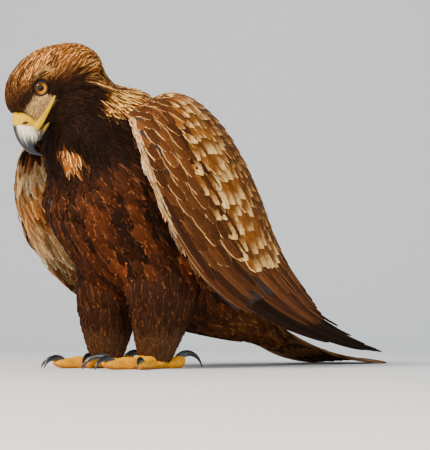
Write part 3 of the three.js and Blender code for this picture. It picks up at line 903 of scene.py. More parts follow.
# %% [markdown]
# Feathers that would cut through a folded wing or cross the opening of an eye are left out. The
# rest become five pieces, by the part of the body that they grow on.

# %% Body feathers
WING_BODIES = ("coverts", "secondaries", "primaries")
WINGS = {side: [side + "_" + part for part in WING_BODIES] for _, side in BOTH}
wing_tree = BVHTree.FromPolygons(*joined_solids(WINGS["left"] + WINGS["right"])[:2])


def hits_wing(rows):
    """True where the way from root to tip, drawn a little longer, meets a wing."""
    ways = zip(rows["root"].tolist(), rows["chord"].tolist(), rows["length"])
    hits = (wing_tree.ray_cast(start, way, far * 1.05)[0] for start, way, far in ways)
    return np.array([hit is not None for hit in hits])


def crosses_eye(rows):
    """True where the way from root to tip passes within 9.3 mm of the eye's axis."""
    crossing = np.zeros(len(rows["root"]), bool)
    for share in (0.0, 0.35, 0.7, 1.0):
        f, _, u = to_head(rows["root"] + rows["chord"] * share).T
        crossing |= np.hypot(f - EYE_AHEAD, u) < 9.3
    return crossing


part_of = np.argmax(root_region, 1)
shown = ~hits_wing(rows) & ~(crosses_eye(rows) & (part_of == HEAD))
for name, shape, parts, slot, thickness in (
    ("head_feathers", POINTED, [HEAD], "crown_feathers", 2.0),
    ("neck_hackles", POINTED, [NECK], "crown_feathers", 4.0),
    ("breast_and_back_feathers", FRAYED, [TRUNK], "body_feathers", 4.0),
    ("rump_feathers", FRAYED, [TAIL], "body_feathers", 4.0),
    ("leg_feathers", FRAYED, LEGS, "body_feathers", 4.0),
):
    picked = {key: values[shown & np.isin(part_of, parts)] for key, values in rows.items()}
    feathers(name, shape, SOFT, picked, [FLESH[p] for p in parts], thickness=thickness)

# %% [markdown]
# ## Folded wings
# A folded wing is a curved sheet between a leading and a trailing edge. Every place on it has a
# share s along the wing, a share t from the leading to the trailing edge, and a height h off the
# middle of the sheet. The long feathers and the coverts are all given in these three numbers.

# %% Wing coordinates
LEADING = [
    (62, -44, 300), (96, -66, 272), (115, -66, 228), (124, -48, 181), (127, -20, 138), (124, 22, 99),
    (117, 80, 68), (105, 154, 45), (89, 246, 28), (70, 342, 16), (54, 424, 12),
]
TRAILING = [
    (42, 20, 322), (29, 84, 320), (20, 140, 289), (16, 183, 240), (15, 216, 189), (15, 252, 141),
    (16, 294, 101), (19, 340, 67), (23, 388, 42), (30, 434, 26), (38, 464, 17),
]
SHEET = [  # outward bulge and half thickness
    (8, 5), (34, 8), (46, 9), (50, 9), (48, 8), (42, 6.5), (34, 4.5), (24, 3.2), (15, 2.2),
    (8, 1.4), (3, 1),
]
RIGHT_LIFT = 12  # how far the right wing's leading edge stands out more than the left's
WING_LONG = 678.0


def wing_point(s, t, h, hand):
    s, t, h = np.broadcast_arrays(np.asarray(s, float), t, h)
    lead, trail = track(LEADING, s), track(TRAILING, s)
    down = sum(track(edge, s + 0.01) - track(edge, s - 0.01) for edge in (LEADING, TRAILING))
    out = unit(np.cross(unit(down), unit(trail - lead)))
    arch = track(SHEET, s)[..., 0] * 4 * t * (1 - t) + h
    point = lead + (trail - lead) * t[..., None] + out * arch[..., None]
    lift = RIGHT_LIFT if hand < 0 else 0
    point[..., 0] += lift * (1 - t) * np.minimum(1, 4 * s) * (1 - s)
    point[..., 0] *= hand
    return ORIGIN + point * MM


def half_thick(s):
    return track(SHEET, s)[..., 1]


def wing_axes(s, t, h, hand):
    """Unit directions towards the trailing edge, and outwards."""
    down = unit(wing_point(s + 0.005, t, h, hand) - wing_point(s - 0.005, t, h, hand))
    back = unit(wing_point(s, t + 0.02, h, hand) - wing_point(s, t - 0.02, h, hand))
    return back, unit(np.cross(down, back)) * hand


print("wing tip:", wing_point(1.0, 0.5, 0, 1).round(3), wing_point(1.0, 0.5, 0, -1).round(3))


# %% [markdown]
# Under the feathers lies the arm of the wing, a plain flat body. It is a closed sheet that is
# thinner than the wing by the depth of the coverts, and it thins out under the long feathers. Like
# the bill, the toes and the claws it is made of rings of points, joined by four-sided faces.


# %% Rings, and the arms of the wings
def ring_faces(start, rings, around, closed=False):
    """Faces between rings of points, capped at both ends or closed into a hoop."""
    faces = []
    for i in range(rings if closed else rings - 1):
        here, there = start + i * around, start + (i + 1) % rings * around
        for k in range(around):
            n = (k + 1) % around
            faces.append((here + k, here + n, there + n, there + k))
    end = start + (rings - 1) * around
    caps = [tuple(range(start, start + around))[::-1], tuple(range(end, end + around))]
    return faces if closed else faces + caps


def outward(obj):
    """Turns all faces outwards."""
    work = bmesh.new()
    work.from_mesh(obj.data)
    bmesh.ops.recalc_face_normals(work, faces=work.faces)
    work.to_mesh(obj.data)
    work.free()
    return obj


def merged(name, *grids):
    """Grids of points, ring by ring, as closed bodies in one mesh."""
    verts, faces = [], []
    for grid in grids:
        faces += ring_faces(len(verts), *grid.shape[:2])
        verts += grid.reshape(-1, 3).tolist()
    return outward(mesh_object(name, verts, faces))


def finished(obj, finish, nodes, ground=None):
    if ground is not None:
        give(obj.data, "ground", "FLOAT_COLOR", ground)
    obj.data.materials.append(finish)
    claim(obj, nodes)


def circle(count):
    return np.linspace(0, 2 * np.pi, count, endpoint=False)


for hand, wing in BOTH:
    s = np.concatenate([[0.004], np.linspace(0.02, 0.6, 30)])[:, None]
    turn = circle(28)[None]
    flat = np.sign(np.cos(turn)) * np.abs(np.cos(turn)) ** 0.6
    thick = np.maximum(0.7, half_thick(s) - 2.6 - 3.5 * ramp(0.36, 0.5, s)) * ramp(-0.03, 0.05, s)
    arm = merged(wing + "_arm", wing_point(s, 0.5 - 0.488 * flat, np.sin(turn) * thick, hand))
    pale = (np.sin(turn) < 0.1) * ramp(0.5, 0.8, flat) * ramp(0.1, 0.14, s) * ramp(0.52, 0.46, s)
    tint = paint(even("#2c1a11", pale.size), "#c08c55", pale.ravel())
    finished(arm, DOWN, WINGS[wing], tint)
print("arm points:", pale.size)

# %% [markdown]
# ## Coverts
# The coverts overlap in rows down the wing. They grow from about 30 mm at the shoulder to 78 mm
# over the secondaries. A slanting band of them has golden, spear-shaped tips. In front of it they
# are warm brown with thin pale edges, behind it dark with small golden tips, and a broken cream
# line of tiny feathers edges the wing. Each is given by where its root and its tip lie on the wing.


# %% Root values and places on the wing
def root_rows(root, tip, rise, half, paints, off=None):
    """Root values for feathers that face along rise; off is how far the middle is off the chord."""
    chord = tip - root
    way = unit(chord)
    rise = unit(square(rise, way))
    across = np.cross(way, rise)
    bulge, sweep = 2 * MM + 0 * half, 0 * half
    if off is not None:
        bulge, sweep = (off * rise).sum(1), (off * across).sum(1)
    ground, rim, marks = paints
    return {
        "root": root, "chord": chord, "rise": rise, "across": across, "half_width": half * MM,
        "length": np.linalg.norm(chord, axis=1), "bulge": bulge, "camber": half * 0.25 * MM,
        "sweep": sweep, "ground": ground, "rim": rim, "marks": marks,
    }


def wing_rows(start, end, half, hand, face, paints):
    """Root values from start to end, each (s, t, height), outside (face 1) or inside (face -1)."""
    start, end = (np.stack(ends) * [[1], [1], [face]] for ends in (start, end))
    halfway = (start + end) / 2
    root, tip, mid = (wing_point(*at, hand) for at in (start, end, halfway))
    _, out = wing_axes(*halfway[:2], 0, hand)
    return root_rows(root, tip, out * face, half, paints, mid - (root + tip) / 2)


def stacked(groups):
    """Several sets of rows as one, each feather with its own cell of the bake map."""
    rows = {key: np.concatenate([g[key] for g in groups]) for key in groups[0]}
    cell = np.arange(len(rows["root"]))
    side = math.ceil(math.sqrt(len(cell)))
    rows["spot"] = np.stack([(cell % side + 0.5) / side, (cell // side + 0.5) / side, 0 * cell], 1)
    return rows, 0.8 / side


def lattice(rng, s_range, t_from, t_to, long, half, pack, close):
    """Staggered places over part of a wing; long and half give a feather's size in mm from s."""
    found, (s, s_to), odd = [], s_range, 0
    while s < s_to:
        span = np.linalg.norm(track(TRAILING, s) - track(LEADING, s)) * 1.12  # over the bulge
        step, ahead = close * half(s) / span, pack * long(s) / WING_LONG
        for t in np.arange(t_from(s) + step * 0.5 * (odd % 2), t_to(s), step):
            found.append((s + rng.normal(0, 0.12) * ahead, t + rng.normal(0, 0.12) * step))
        s += ahead
        odd += 1
    return np.array(found).T


def by_place(low, high):
    """A size that grows evenly from the shoulder to where the quills start."""
    return lambda s: np.interp(s, [0, 0.42], [low, high])


def plate_top(s, t):
    """Half thickness of the wing, rounded down towards both edges."""
    return half_thick(s) * np.sqrt(np.maximum(0.1, 1 - np.abs(2 * t - 1) ** 5))


def drawn(rng, count, side, tip):
    """Marks with the side rim and the start of the tip drawn between limits."""
    return np.stack([rng.uniform(*side, count), rng.uniform(*tip, count), np.zeros(count)], 1)


GOLDEN_FROM = [
    (0, 0.42), (0.05, 0.34), (0.12, 0.23), (0.2, 0.18), (0.3, 0.19), (0.4, 0.24), (0.5, 0.32),
]


def band_at(s):
    """Where, from the leading edge, the golden band starts."""
    return along_line(s, GOLDEN_FROM)


print("band at the shoulder and the middle:", band_at(0.0), round(float(band_at(0.25)), 3))


# %% Coverts on the outer face
def golden_paints(s, t, rng):
    """Golden spear tips along the band, smaller and darker ones behind it."""
    count = len(s)
    behind = ramp(0.2, 0.34, t - band_at(s) + rng.normal(0, 0.04, count))
    rear = ramp(0.66, 0.9, t)
    ground = paint(paint(even("#85501f", count), "#63391b", behind), "#2c1b12", rear)
    rim = paint(paint(even("#ffcf82", count), "#e0a052", behind), "#94663a", rear)
    side = 0.2 - 0.02 * behind - 0.12 * rear
    tip = 0.52 + 0.12 * behind + 0.08 * rear + rng.normal(0, 0.1, count)
    ground, rim = ground * rng.uniform(0.75, 1.2, (count, 1)), rim * rng.uniform(0.85, 1.12, (count, 1))
    return ground, rim, np.stack([side, tip, 0 * tip], 1)


def brown_paints(s, t, rng):
    """Warm brown with thin pale edges, in front of the band."""
    count = len(s)
    ground = paint(even("#643a1b", count), "#402412", rng.random(count))
    marks = drawn(rng, count, (0.13, 0.24), (0.86, 0.93))
    ground = ground * rng.uniform(0.72, 1.3, (count, 1))
    return ground, even("#e3ac68", count) * rng.uniform(0.7, 1.1, (count, 1)), marks


def laid_on_wing(hand, rng, s_to, t_from, t_to, sizes, spread, paints, sunk=3.4, lifted=0.8):
    """Coverts over part of the outer face, each from a sunk root to a lifted tip."""
    long, half = sizes
    s, t = lattice(rng, (0.0, s_to), t_from, t_to, long, half, *spread)
    s = np.maximum(s, 0.002)
    size = rng.uniform(0.88, 1.12, len(s))
    s1, t1 = s + long(s) * size / WING_LONG, t + rng.normal(0, 0.012, len(s)) + 0.02 * (1 - t)
    raised = plate_top(s1, t1) + lifted * rng.uniform(0.3, 1.3, len(s))
    start, end = (s, t, plate_top(s, t) - sunk), (s1, t1, raised)
    return wing_rows(start, end, half(s) * size, hand, 1, paints(s, t, rng))


def brown_coverts(hand, rng):
    sizes = by_place(34, 78), by_place(6.2, 8.6)
    t_from, t_to = lambda s: 0.02, lambda s: band_at(s) + 0.08
    return [laid_on_wing(hand, rng, 0.37, t_from, t_to, sizes, (0.42, 1.4), brown_paints)]


def golden_coverts(hand, rng):
    sizes, t_to = (by_place(34, 68), by_place(7.0, 12.5)), lambda s: band_at(s) + 0.3
    band = laid_on_wing(hand, rng, 0.45, band_at, t_to, sizes, (0.46, 1.35), golden_paints, 3.0, 1.4)
    sizes, t_from, t_to = (by_place(27, 50), by_place(5.6, 9)), lambda s: band_at(s) + 0.28, lambda s: 1.0
    rest = laid_on_wing(hand, rng, 0.45, t_from, t_to, sizes, (0.46, 1.4), golden_paints, 3.0, 1.2)
    return [band, rest]



# %% [markdown]
# The lining is the inner face's soft cover, rufous and cream, and darker near the shoulder and
# the tip. Where the two folded wings meet over the back, loose feathers close the gap between
# them, and three rows of the mantle close the hollow behind the neck.


# %% Lining, cream line and the meeting of the wings
def toned(codes, tone, marks):
    """One ground and one rim colour with a tone for each feather."""
    return (*(even(code, len(tone)) * tone for code in codes), marks)


def lining(hand, rng):
    """Soft mottled feathers on the inner face, which shows along the leading edge."""
    long, half = by_place(30, 50), by_place(5.5, 8)
    s, t = lattice(rng, (0.02, 0.46), lambda s: 0.02, lambda s: 0.6, long, half, 0.3, 1.2)
    count = len(s)
    mottle = ramp(0.0, 1.3, np.sin(s * 95) + np.sin(t * 40 + s * 30) + rng.normal(0, 0.8, count))
    cream = bump_at(s, 0.175, 0.03) + 0.8 * bump_at(s, 0.36, 0.06) * ramp(0.3, 0.1, t)
    dark = np.maximum(ramp(0.15, 0.12, s) * ramp(0.05, 0.09, s), 0.8 * ramp(0.36, 0.44, s))
    # painted shade: on the left wing only, the front edge below the wrist is darkened where it lies in
    # shade beside the breast
    if hand > 0:  # the left wing's front edge is dark below the wrist
        dark = np.maximum(dark, 0.8 * ramp(0.24, 0.3, s) * ramp(0.14, 0.08, t))
    ground, rim = even("#f09040", count), even("#ffd290", count)
    ground, rim = paint(ground, "#ecc88e", cream), paint(rim, "#fff2d0", cream)
    ground, rim = paint(ground, "#874a20", mottle * 0.8), paint(rim, "#d58b42", mottle * 0.6)
    ground, rim = paint(ground, "#2a1a12", dark), paint(rim, "#4d3322", dark)
    tone = rng.uniform(0.65, 1.25, (count, 1))
    marks = drawn(rng, count, (0.2, 0.5), (0.4, 0.75))
    s1 = s + long(s) * rng.uniform(0.8, 1.2, count) / WING_LONG
    t1 = np.maximum(t + rng.normal(0.01, 0.03, count), 0.012)
    start, end = (s, t, plate_top(s, t) - 3), (s1, t1, plate_top(s, t) + rng.uniform(-0.2, 1.2, count))
    wide = half(s) * np.interp(t, [0, 0.15], [0.4, 1])
    return [wing_rows(start, end, wide, hand, -1, (ground * tone, rim * tone, marks))]


def cream_line(hand, rng):
    """Tiny pale feathers round the leading edge, dense at the wrist and broken lower down."""
    groups = []
    for face, share in ((1, 0.45), (1, 0.2), (-1, 0.1)):
        s = np.arange(0.03, 0.4, 6 / WING_LONG)
        s = s[rng.random(len(s)) < np.interp(s, [0, 0.28, 0.34, 0.42], [0.95, 0.7, 0.3, 0.15])]
        s = s + rng.normal(0, 0.003, len(s))
        count = len(s)
        tone = rng.uniform(0.6, 1.1, (count, 1))
        high, wide = half_thick(s) * share, rng.uniform(0.9, 1.9, count)
        t, s1 = rng.normal(0.014, 0.005, count), s + rng.uniform(15, 28, count) / WING_LONG
        paints = toned(("#b5824a", "#ffe2b2"), tone, np.tile((0.35, 0.45, 0.0), (count, 1)))
        root, tip = (s, t, high - 1), (s1, t - 0.002, high + 0.3)
        groups.append(wing_rows(root, tip, wide, hand, face, paints))
    return groups


def meeting(hand, rng):
    """Soft feathers from the inner edge to the middle of the back, where the two wings meet."""
    groups = []
    for row in range(3):
        s = np.arange(0.07 + 0.01 * row, 0.54, 15 / WING_LONG) + rng.normal(0, 0.003)
        count = len(s)
        t, long = 0.9 + 0.045 * row + 0 * s, rng.uniform(52, 70, count)
        high = plate_top(s, t) - 2 + rng.uniform(0, 2, count) - 0.8 * row
        tone = rng.uniform(0.75, 1.3, (count, 1))
        paints = toned(("#38231a", "#8f643c"), tone, drawn(rng, count, (0.1, 0.2), (0.8, 0.92)))
        root = wing_point(s, t, high - 3, hand)
        tip = wing_point(s + long / WING_LONG, t + 0.06, high, hand)
        tip[:, 0] += (hand * (13 - 5 * row) * MM + ORIGIN[0] - tip[:, 0]) * 0.8
        _, out = wing_axes(s, t, 0, hand)
        groups.append(root_rows(root, tip, out * [0.4, 1, 1], rng.uniform(10, 13, count), paints))
    return groups


MANTLE_ROWS = ((44, 328, 98, 316), (62, 323, 116, 308), (80, 316, 134, 297))  # y, z of roots and tips


def mantle(rng):
    """Three rows over the hollow between the neck's hackles and the wings' inner edges."""
    groups = []
    for row, (y0, z0, y1, z1) in enumerate(MANTLE_ROWS):
        x = np.arange(-35 + 4 * (row % 2), 37, 7.5)
        count = len(x)
        root = np.stack([x, y0 + rng.normal(0, 2, count), z0 - 3 - 0.004 * x**2], 1)
        tip = np.stack([0.85 * x, y1 + rng.normal(0, 4, count), z1 - 0.003 * x**2], 1)
        tone = rng.uniform(0.75, 1.3, (count, 1))
        paints = toned(("#301f16", "#7d5430"), tone, drawn(rng, count, (0.15, 0.3), (0.7, 0.85)))
        above = np.tile((0, 0.3, 1.0), (count, 1))
        half = rng.uniform(6.5, 8.5, count)
        groups.append(root_rows(ORIGIN + root * MM, ORIGIN + tip * MM, above, half, paints))
    return groups


def covert_piece(name, shape, groups, nodes):
    rows, patch = stacked(groups)
    feathers(name, shape, COVERT, rows, nodes, patch, 3.5)


COVERT = feather_finish("smooth wing covert", 0.62, 50.0, 0.36, "#20130c", ragged=0.12, fade=0.45)
for hand, wing in BOTH:
    rng = np.random.default_rng(20 + hand)
    for name, shape, make in (
        ("_brown_coverts", ROUNDED, brown_coverts),
        ("_wing_lining", FRAYED, lining),
        ("_golden_coverts", SPEAR, golden_coverts),
        ("_edge_coverts", POINTED, cream_line),
        ("_inner_edge_feathers", ROUNDED, meeting),
    ):
        covert_piece(wing + name, shape, make(hand, rng), WINGS[wing][:1])
covert_piece("mantle_feathers", ROUNDED, mantle(np.random.default_rng(31)), ["trunk"])

# %% [markdown]
# ## Flight and tail feathers
# The long feathers are stiff blades with a strong shaft and a narrow front vane. Each is swept
# along its own path on the wing or over the tail, so it follows the fold exactly. The rings have
# twelve corners, which is enough for the shaft to stand out and for the vane to curve.

# %% Blades
ACROSS = np.array([-1, -0.6, -0.1, 0, 0.1, 0.6, 1, 0.6, 0.1, 0, -0.1, -0.6])
THICK = np.array([0, 0.7, 0.8, 1.8, 0.8, 0.7, 0, -0.5, -0.6, -0.9, -0.6, -0.5]) * 0.7 * MM
STEPS = 1 - (1 - np.linspace(0, 1, 22)) ** 1.4  # closer together near the tip


class Sheaf:
    """Collects blades for one piece."""

    def __init__(self, cells):
        self.side = math.ceil(math.sqrt(cells))
        self.verts, self.faces, self.chart, self.bake, self.data = [], [], [], [], []

    def blade(self, spine, across, rise, front, rear, look, camber=1.0):
        """front and rear are the widths in m on the two sides of the shaft, row by row."""
        count, rings = len(self.verts), len(spine)
        wide = np.where(ACROSS[None] < 0, front[:, None], rear[:, None])
        slim = np.minimum(1, wide.max(1, keepdims=True) / (3 * MM))
        up = THICK[None] * slim - camber * MM * ACROSS[None] ** 2 * slim
        points = spine[:, None] + across[:, None] * (ACROSS[None] * wide)[..., None]
        points = points + rise[:, None] * up[..., None]
        self.faces += ring_faces(count * points[..., 0].size, rings, len(ACROSS))
        self.verts.append(points.reshape(-1, 3))
        share = np.linspace(0, 1, rings)
        chart = np.broadcast_arrays(ACROSS[None] / 2 + 0.5, share[:, None])
        chart = np.stack(chart, -1).reshape(-1, 2)
        self.chart.append(chart)
        cell = np.array([count % self.side, count // self.side])
        self.bake.append((cell + 0.1 + 0.8 * chart) / self.side)
        ground, rim, marks = look
        self.data.append(np.tile(np.concatenate([colour(ground), colour(rim), marks]), (len(chart), 1)))

    def piece(self, name, finish, nodes, slot):
        made = outward(mesh_object(name, np.concatenate(self.verts), self.faces))
        loops = np.zeros(len(made.data.loops), int)
        made.data.loops.foreach_get("vertex_index", loops)
        for key, values in (("Vane", self.chart), ("OFBake", self.bake)):
            layer = made.data.uv_layers.new(name=key)
            layer.uv.foreach_set("vector", np.concatenate(values)[loops].ravel())
        data = np.concatenate(self.data)
        give(made.data, "rim", "FLOAT_COLOR", data[:, 3:6])
        give(made.data, "marks", "FLOAT_VECTOR", data[:, 6:])
        finished(made, finish, nodes, data[:, :3])
        print(name, len(self.verts), "blades,", len(self.faces), "faces")


def rounded_end(blunt):
    """Width along a blade, full in the middle and rounded at the tip."""
    return np.sqrt(np.maximum(0.004, 1 - STEPS**blunt))


print("corners of a blade:", len(STEPS) * len(ACROSS))

# %% [markdown]
# The outer fan of the folded wing is seven dark primaries under two rows of long, narrow primary
# coverts. Behind it are fourteen secondaries, two uneven rows of greater coverts, and three
# tertials on top of all.

# %% Quills of the folded wing
QUILL = feather_finish("stiff flight feather", 0.66, 110.0, 0.3, "#150e0a", ragged=0.06)
QUILL_WIDTH = np.minimum(1, 0.75 + STEPS) * rounded_end(6.0) * MM
FRONT_SHARE = 0.62


def along_wing(sheaf, hand, s, t, h, wide, look):
    """One blade on the wing; s, t and h each drift from a first to a second value."""
    s, t, h = (first + (second - first) * STEPS for first, second in (s, t, h))
    spine = wing_point(s, t, h, hand)
    back, out = wing_axes(s, t, h, hand)
    front, rear = QUILL_WIDTH * wide * FRONT_SHARE, QUILL_WIDTH * wide * (2 - FRONT_SHARE)
    sheaf.blade(spine, back, out, front, rear, look)


PRIMARY_TIPS = [0.83, 0.94, 1, 0.97, 0.91, 0.85, 0.79]
PRIMARY_COVERTS = ((0.35, 0.63, 7.5), (0.27, 0.5, 7.0))  # start, reach, half width of each row
SECONDARIES, GREATER_COVERTS, TERTIALS = 14, 16, 3
for hand, wing in BOTH:
    outer, inner = Sheaf(21), Sheaf(SECONDARIES + GREATER_COVERTS + TERTIALS)
    for i, tip in enumerate(PRIMARY_TIPS):
        look = (("#2b1b12", "#22160f")[i % 2], "#a08063", (0.1, 1.2, 0.0))
        t, h = (0.07 + 0.02 * i, 0.14 + 0.085 * i), (-0.7 * i, -1 + 0.6 * i)
        along_wing(outer, hand, (0.36, tip), t, h, 14, look)
    for row, (start, reach, wide) in enumerate(PRIMARY_COVERTS):
        for i in range(7):
            look = (("#5a331c", "#3f2415", "#6b4023")[(i + row) % 3], "#dba86c", (0.16, 0.95, 0.0))
            s, t = (start, reach - 0.018 * i), (0.02 + 0.026 * i, 0.03 + 0.045 * i)
            h = (1.5 + 2.2 * row, 4.4 + 0.6 * row - 0.25 * i)
            along_wing(outer, hand, s, t, h, wide, look)
    for j in range(SECONDARIES):
        share = j / (SECONDARIES - 1)
        look = (("#643a20", "#4c2c1b", "#754627")[j % 3], "#c99a66", (0.16, 0.97, 0.0))
        t = (0.14 + 0.8 * share, 0.26 + 0.7 * share)
        tip = 0.62 + 0.14 * math.sin(math.pi * min(1, 0.12 + t[1])) + 0.008 * (j % 2)
        along_wing(inner, hand, (0.35, tip), t, (-2 + 3 * share, 0.3 + 3.4 * share), 12.5, look)
    for j in range(GREATER_COVERTS):
        share, upper_row = j / (GREATER_COVERTS - 1), j % 2 == 0
        look = (("#7a4522", "#5c341c", "#6b3d20")[j % 3], "#e0ac6c", (0.18, 0.94, 0.0))
        t = (0.1 + 0.8 * share, 0.16 + 0.8 * share)
        reach = (0.5 if upper_row else 0.57) + 0.06 * math.sin(math.pi * t[1])
        h = (0.5 + 4.2 * share + 0.8 * upper_row, 1.7 + 4.2 * share + 0.6 * upper_row)
        along_wing(inner, hand, (0.3, reach), t, h, 9.5, look)
    for j in range(TERTIALS):
        t, h = (0.7 + 0.09 * j, 0.76 + 0.08 * j), (5.4, 4.6 + 0.5 * j)
        look = ("#3a2316", "#b08050", (0.14, 0.95, 0.0))
        along_wing(inner, hand, (0.26, 0.6 + 0.03 * j), t, h, 13, look)
    outer.piece(wing + "_primary_quills", QUILL, WINGS[wing][2:], "flight_feathers")
    inner.piece(wing + "_secondary_quills", QUILL, WINGS[wing][1:2], "flight_feathers")


# %% [markdown]
# The tail has twelve wide blades. The middle pair lies on top, and each outer one is tucked under
# its neighbour. They are grey-brown with darker bands that close up into a dark end.

# %% Tail
TAIL_PATH = [(0, 172, 100), (0, 218, 66), (0, 272, 37), (0, 336, 15), (0, 403, 3), (0, 468, -0.8)]
TAIL_LENGTH, TAIL_PATH_LENGTH, TAIL_COUNT = 322, 325, 12
TAIL_LOOK = ("#8a5e36", "#231913", (0.05, 0.74, 0.8))
RECTRIX = feather_finish("broad tail feather", 0.75, 95.0, 0.18, "#1c130d", ragged=0.08)
tail = Sheaf(TAIL_COUNT)
for index in range(TAIL_COUNT):
    place_in_fan = 2 * index / (TAIL_COUNT - 1) - 1
    outer = abs(place_in_fan)
    s = 0.02 + ((TAIL_LENGTH - 26 * outer**2) / TAIL_PATH_LENGTH - 0.02) * STEPS
    along = heading(TAIL_PATH, s)
    x = place_in_fan * (18 + 38 * STEPS**1.1)
    drop = (x / 60) ** 2 * (14 - 11.5 * STEPS) + outer * (6 - 3.4 * STEPS)
    height = 8 - 2.6 * STEPS - drop
    beside = np.stack([x, 0 * x, 0 * x], 1)
    off = beside + np.cross((1, 0, 0), along) * height[:, None]
    spine = ORIGIN + (track(TAIL_PATH, s) + off) * MM
    spine[:, 2] = np.maximum(spine[:, 2], 1.6 * MM)
    across = unit(np.stack([1 + 0 * x, 0 * x, -x * 0.004], 1))
    across = unit(square(across, along))
    half = (13 + 9 * np.minimum(1, 1.6 * STEPS)) * rounded_end(8) * MM
    widths = (1.25 * half, 0.75 * half) if place_in_fan > 0 else (0.75 * half, 1.25 * half)
    tail.blade(spine, across, -np.cross(across, along), *widths, TAIL_LOOK, camber=0.6)
tail.piece("tail_quills", RECTRIX, ["tail"], "tail_feathers")

# %% [markdown]
# ## Bill, cere and gape
# The bill is bone under a sheath of polished horn, pale at its base and black at the hooked tip.
# The cere is the soft waxy skin that holds the nostrils, and the yellow gape runs from it back
# under the eye. Each is a stack of cross-sections in the head's own axes, with the same rows as
# the solids but many more rings, so the hook is smooth.

# %% Rows of the bill
# top forward, top up, bottom forward, bottom up, half width
UPPER_BILL = [
    (36, 9.5, 34, -22, 14.2), (43, 8, 41, -25, 13), (50, 3.8, 46, -28, 11.6),
    (57.5, -2.8, 50.5, -30.2, 9.8),
    (64, -11.5, 54.5, -31.8, 7.8), (68, -21.5, 58.5, -33.2, 5.6), (68.4, -32, 61.4, -36, 3.4),
    (63.6, -45.4, 61.8, -44.8, 0.9),
]
LOWER_BILL = [
    (22, -25.4, 22, -33.0, 11.0), (36, -27.0, 36, -33.0, 9.6), (44, -29.2, 44, -33.2, 7.2),
    (50.2, -31.4, 49.8, -33.2, 3.6),
]
CERE = [(34.5, 10.8, 32.5, -23.6, 15.4), (42, 8.9, 36.5, -24.8, 14.4), (51.5, 3.2, 38.5, -25.4, 12.8)]
# forward, left, up, half width, half depth
GAPE = [
    (1, 31.2, -18.0, 0.6, 0.8), (5, 29.6, -18.6, 1.4, 1.8), (14, 25.4, -19.6, 1.9, 2.7),
    (26, 19.2, -20.2, 2.2, 3.7), (36, 14.4, -20.6, 2.2, 4.3), (43, 12.0, -21.2, 1.2, 2.6),
]


def profile_grid(rows, rings, sides, ridge=0.15):
    """Rings in the head's axes, and each point's shares along the bill and up it."""
    rows = np.array(rows, float)
    t = np.linspace(0, 1, rings)
    top, bottom = track(rows[:, [0, 1, 4]], t), track(rows[:, [2, 3, 4]], t)
    turn = circle(sides)
    up = (1 + np.sin(turn)) / 2
    wide = np.cos(turn) * (1 - ridge * ramp(0, 1, np.sin(turn)))
    f = bottom[:, :1] + (top - bottom)[:, :1] * up
    u = bottom[:, 1:2] + (top - bottom)[:, 1:2] * up
    shares = (v.ravel() for v in np.broadcast_arrays(t[:, None], up[None]))
    return in_head(f, top[:, 2:] * wide, u), *shares


print("rows of the bill:", len(UPPER_BILL), len(LOWER_BILL), len(CERE), len(GAPE))

# %% [markdown]
# Horn is keratin that has grown in layers and is worn to a soft polish. Its index of refraction is
# about 1.55. The painted ground colour carries the change from pale to black, and a noise that is
# stretched along the growth breaks it up a little.

# %% Bill of horn
KERATIN = {"IOR": 1.55}
POLISH = {"IOR": 1.55, "Coat_Roughness": 0.12}
GROWTH = (2.2, 2.2, 0.35)
HORN = painted_finish(
    "worn polished horn", 420.0, (0.7, 1.25), 0.1,
    stretch=GROWTH, Roughness=0.34, Coat_Weight=0.2, **POLISH
)
RINGS, SIDES = 60, 36
grid, t, up = profile_grid(UPPER_BILL, RINGS, SIDES)
streaky = 0.07 * np.sin(np.tile(np.arange(SIDES) * 2.4, RINGS)) * ramp(0.1, 0.4, t)
grey = ramp(0.34, 0.6, t + 0.1 * ramp(0.72, 1.0, up) + streaky)
horn = paint(even("#f1e8cc", len(t)), "#77787a", grey)
horn = paint(horn, "#101013", ramp(0.46, 0.7, t + 0.05 * (1 - up) + streaky))
horn = paint(horn, "#141315", ramp(0.78, 0.96, up) * ramp(0.2, 0.34, t))
finished(merged("upper_bill_horn", grid), HORN, ["upper_bill"], horn)
grid, t, up = profile_grid(LOWER_BILL, 20, 28, 0.0)
horn = paint(even("#a8862e", len(t)), "#34363a", ramp(0.2, 0.7, t))
finished(merged("lower_bill_horn", grid), HORN, ["lower_bill"], horn)
bill = np.linalg.norm(in_head(53, 0, 1) - in_head(62.4, 0, -44)) / MM
print("bill length mm:", round(float(bill), 1))


# %% [markdown]
# Limbs such as toes, claws and the gape are round strips along a curve. They repeat the rule that
# shaped the solids: the width runs along a side direction and the depth at a right angle to it.
# Soft parts are overlapping limbs and balls, fused into one surface by a fine remesh.


# %% Limbs, balls and fusing
def limb_grid(rows, side, rings, sides, relief=None):
    """Rings along rows of (x, y, z, half width, half depth) in mm; relief(t, turn) scales them."""
    rows = np.array(rows, float)
    t = np.linspace(0, 1, rings)
    middle_line, size = track(rows[:, :3], t), track(rows[:, [3, 4]], t)
    along = heading(rows[:, :3], t)
    across = unit(square(np.asarray(side, float), along))
    deep = np.cross(across, along)
    turn = circle(sides)
    scale = 1.0 if relief is None else relief(t[:, None], turn[None])[..., None]
    wide = across[:, None] * (np.cos(turn)[None] * size[:, :1])[..., None]
    tall = deep[:, None] * (np.sin(turn)[None] * size[:, 1:])[..., None]
    return middle_line[:, None] + (wide + tall) * scale


def on_ball(polar, turn):
    """Unit directions by the angle from an axis and the turn round it."""
    off = np.sin(polar)
    parts = np.broadcast_arrays(off * np.cos(turn), off * np.sin(turn), np.cos(polar))
    return np.stack(parts, -1)


def ball_grid(centre, radii, rings=14, sides=20):
    polar = np.linspace(0.02, np.pi - 0.02, rings)[:, None]
    return np.asarray(centre) + on_ball(polar, circle(sides)[None]) * np.asarray(radii)


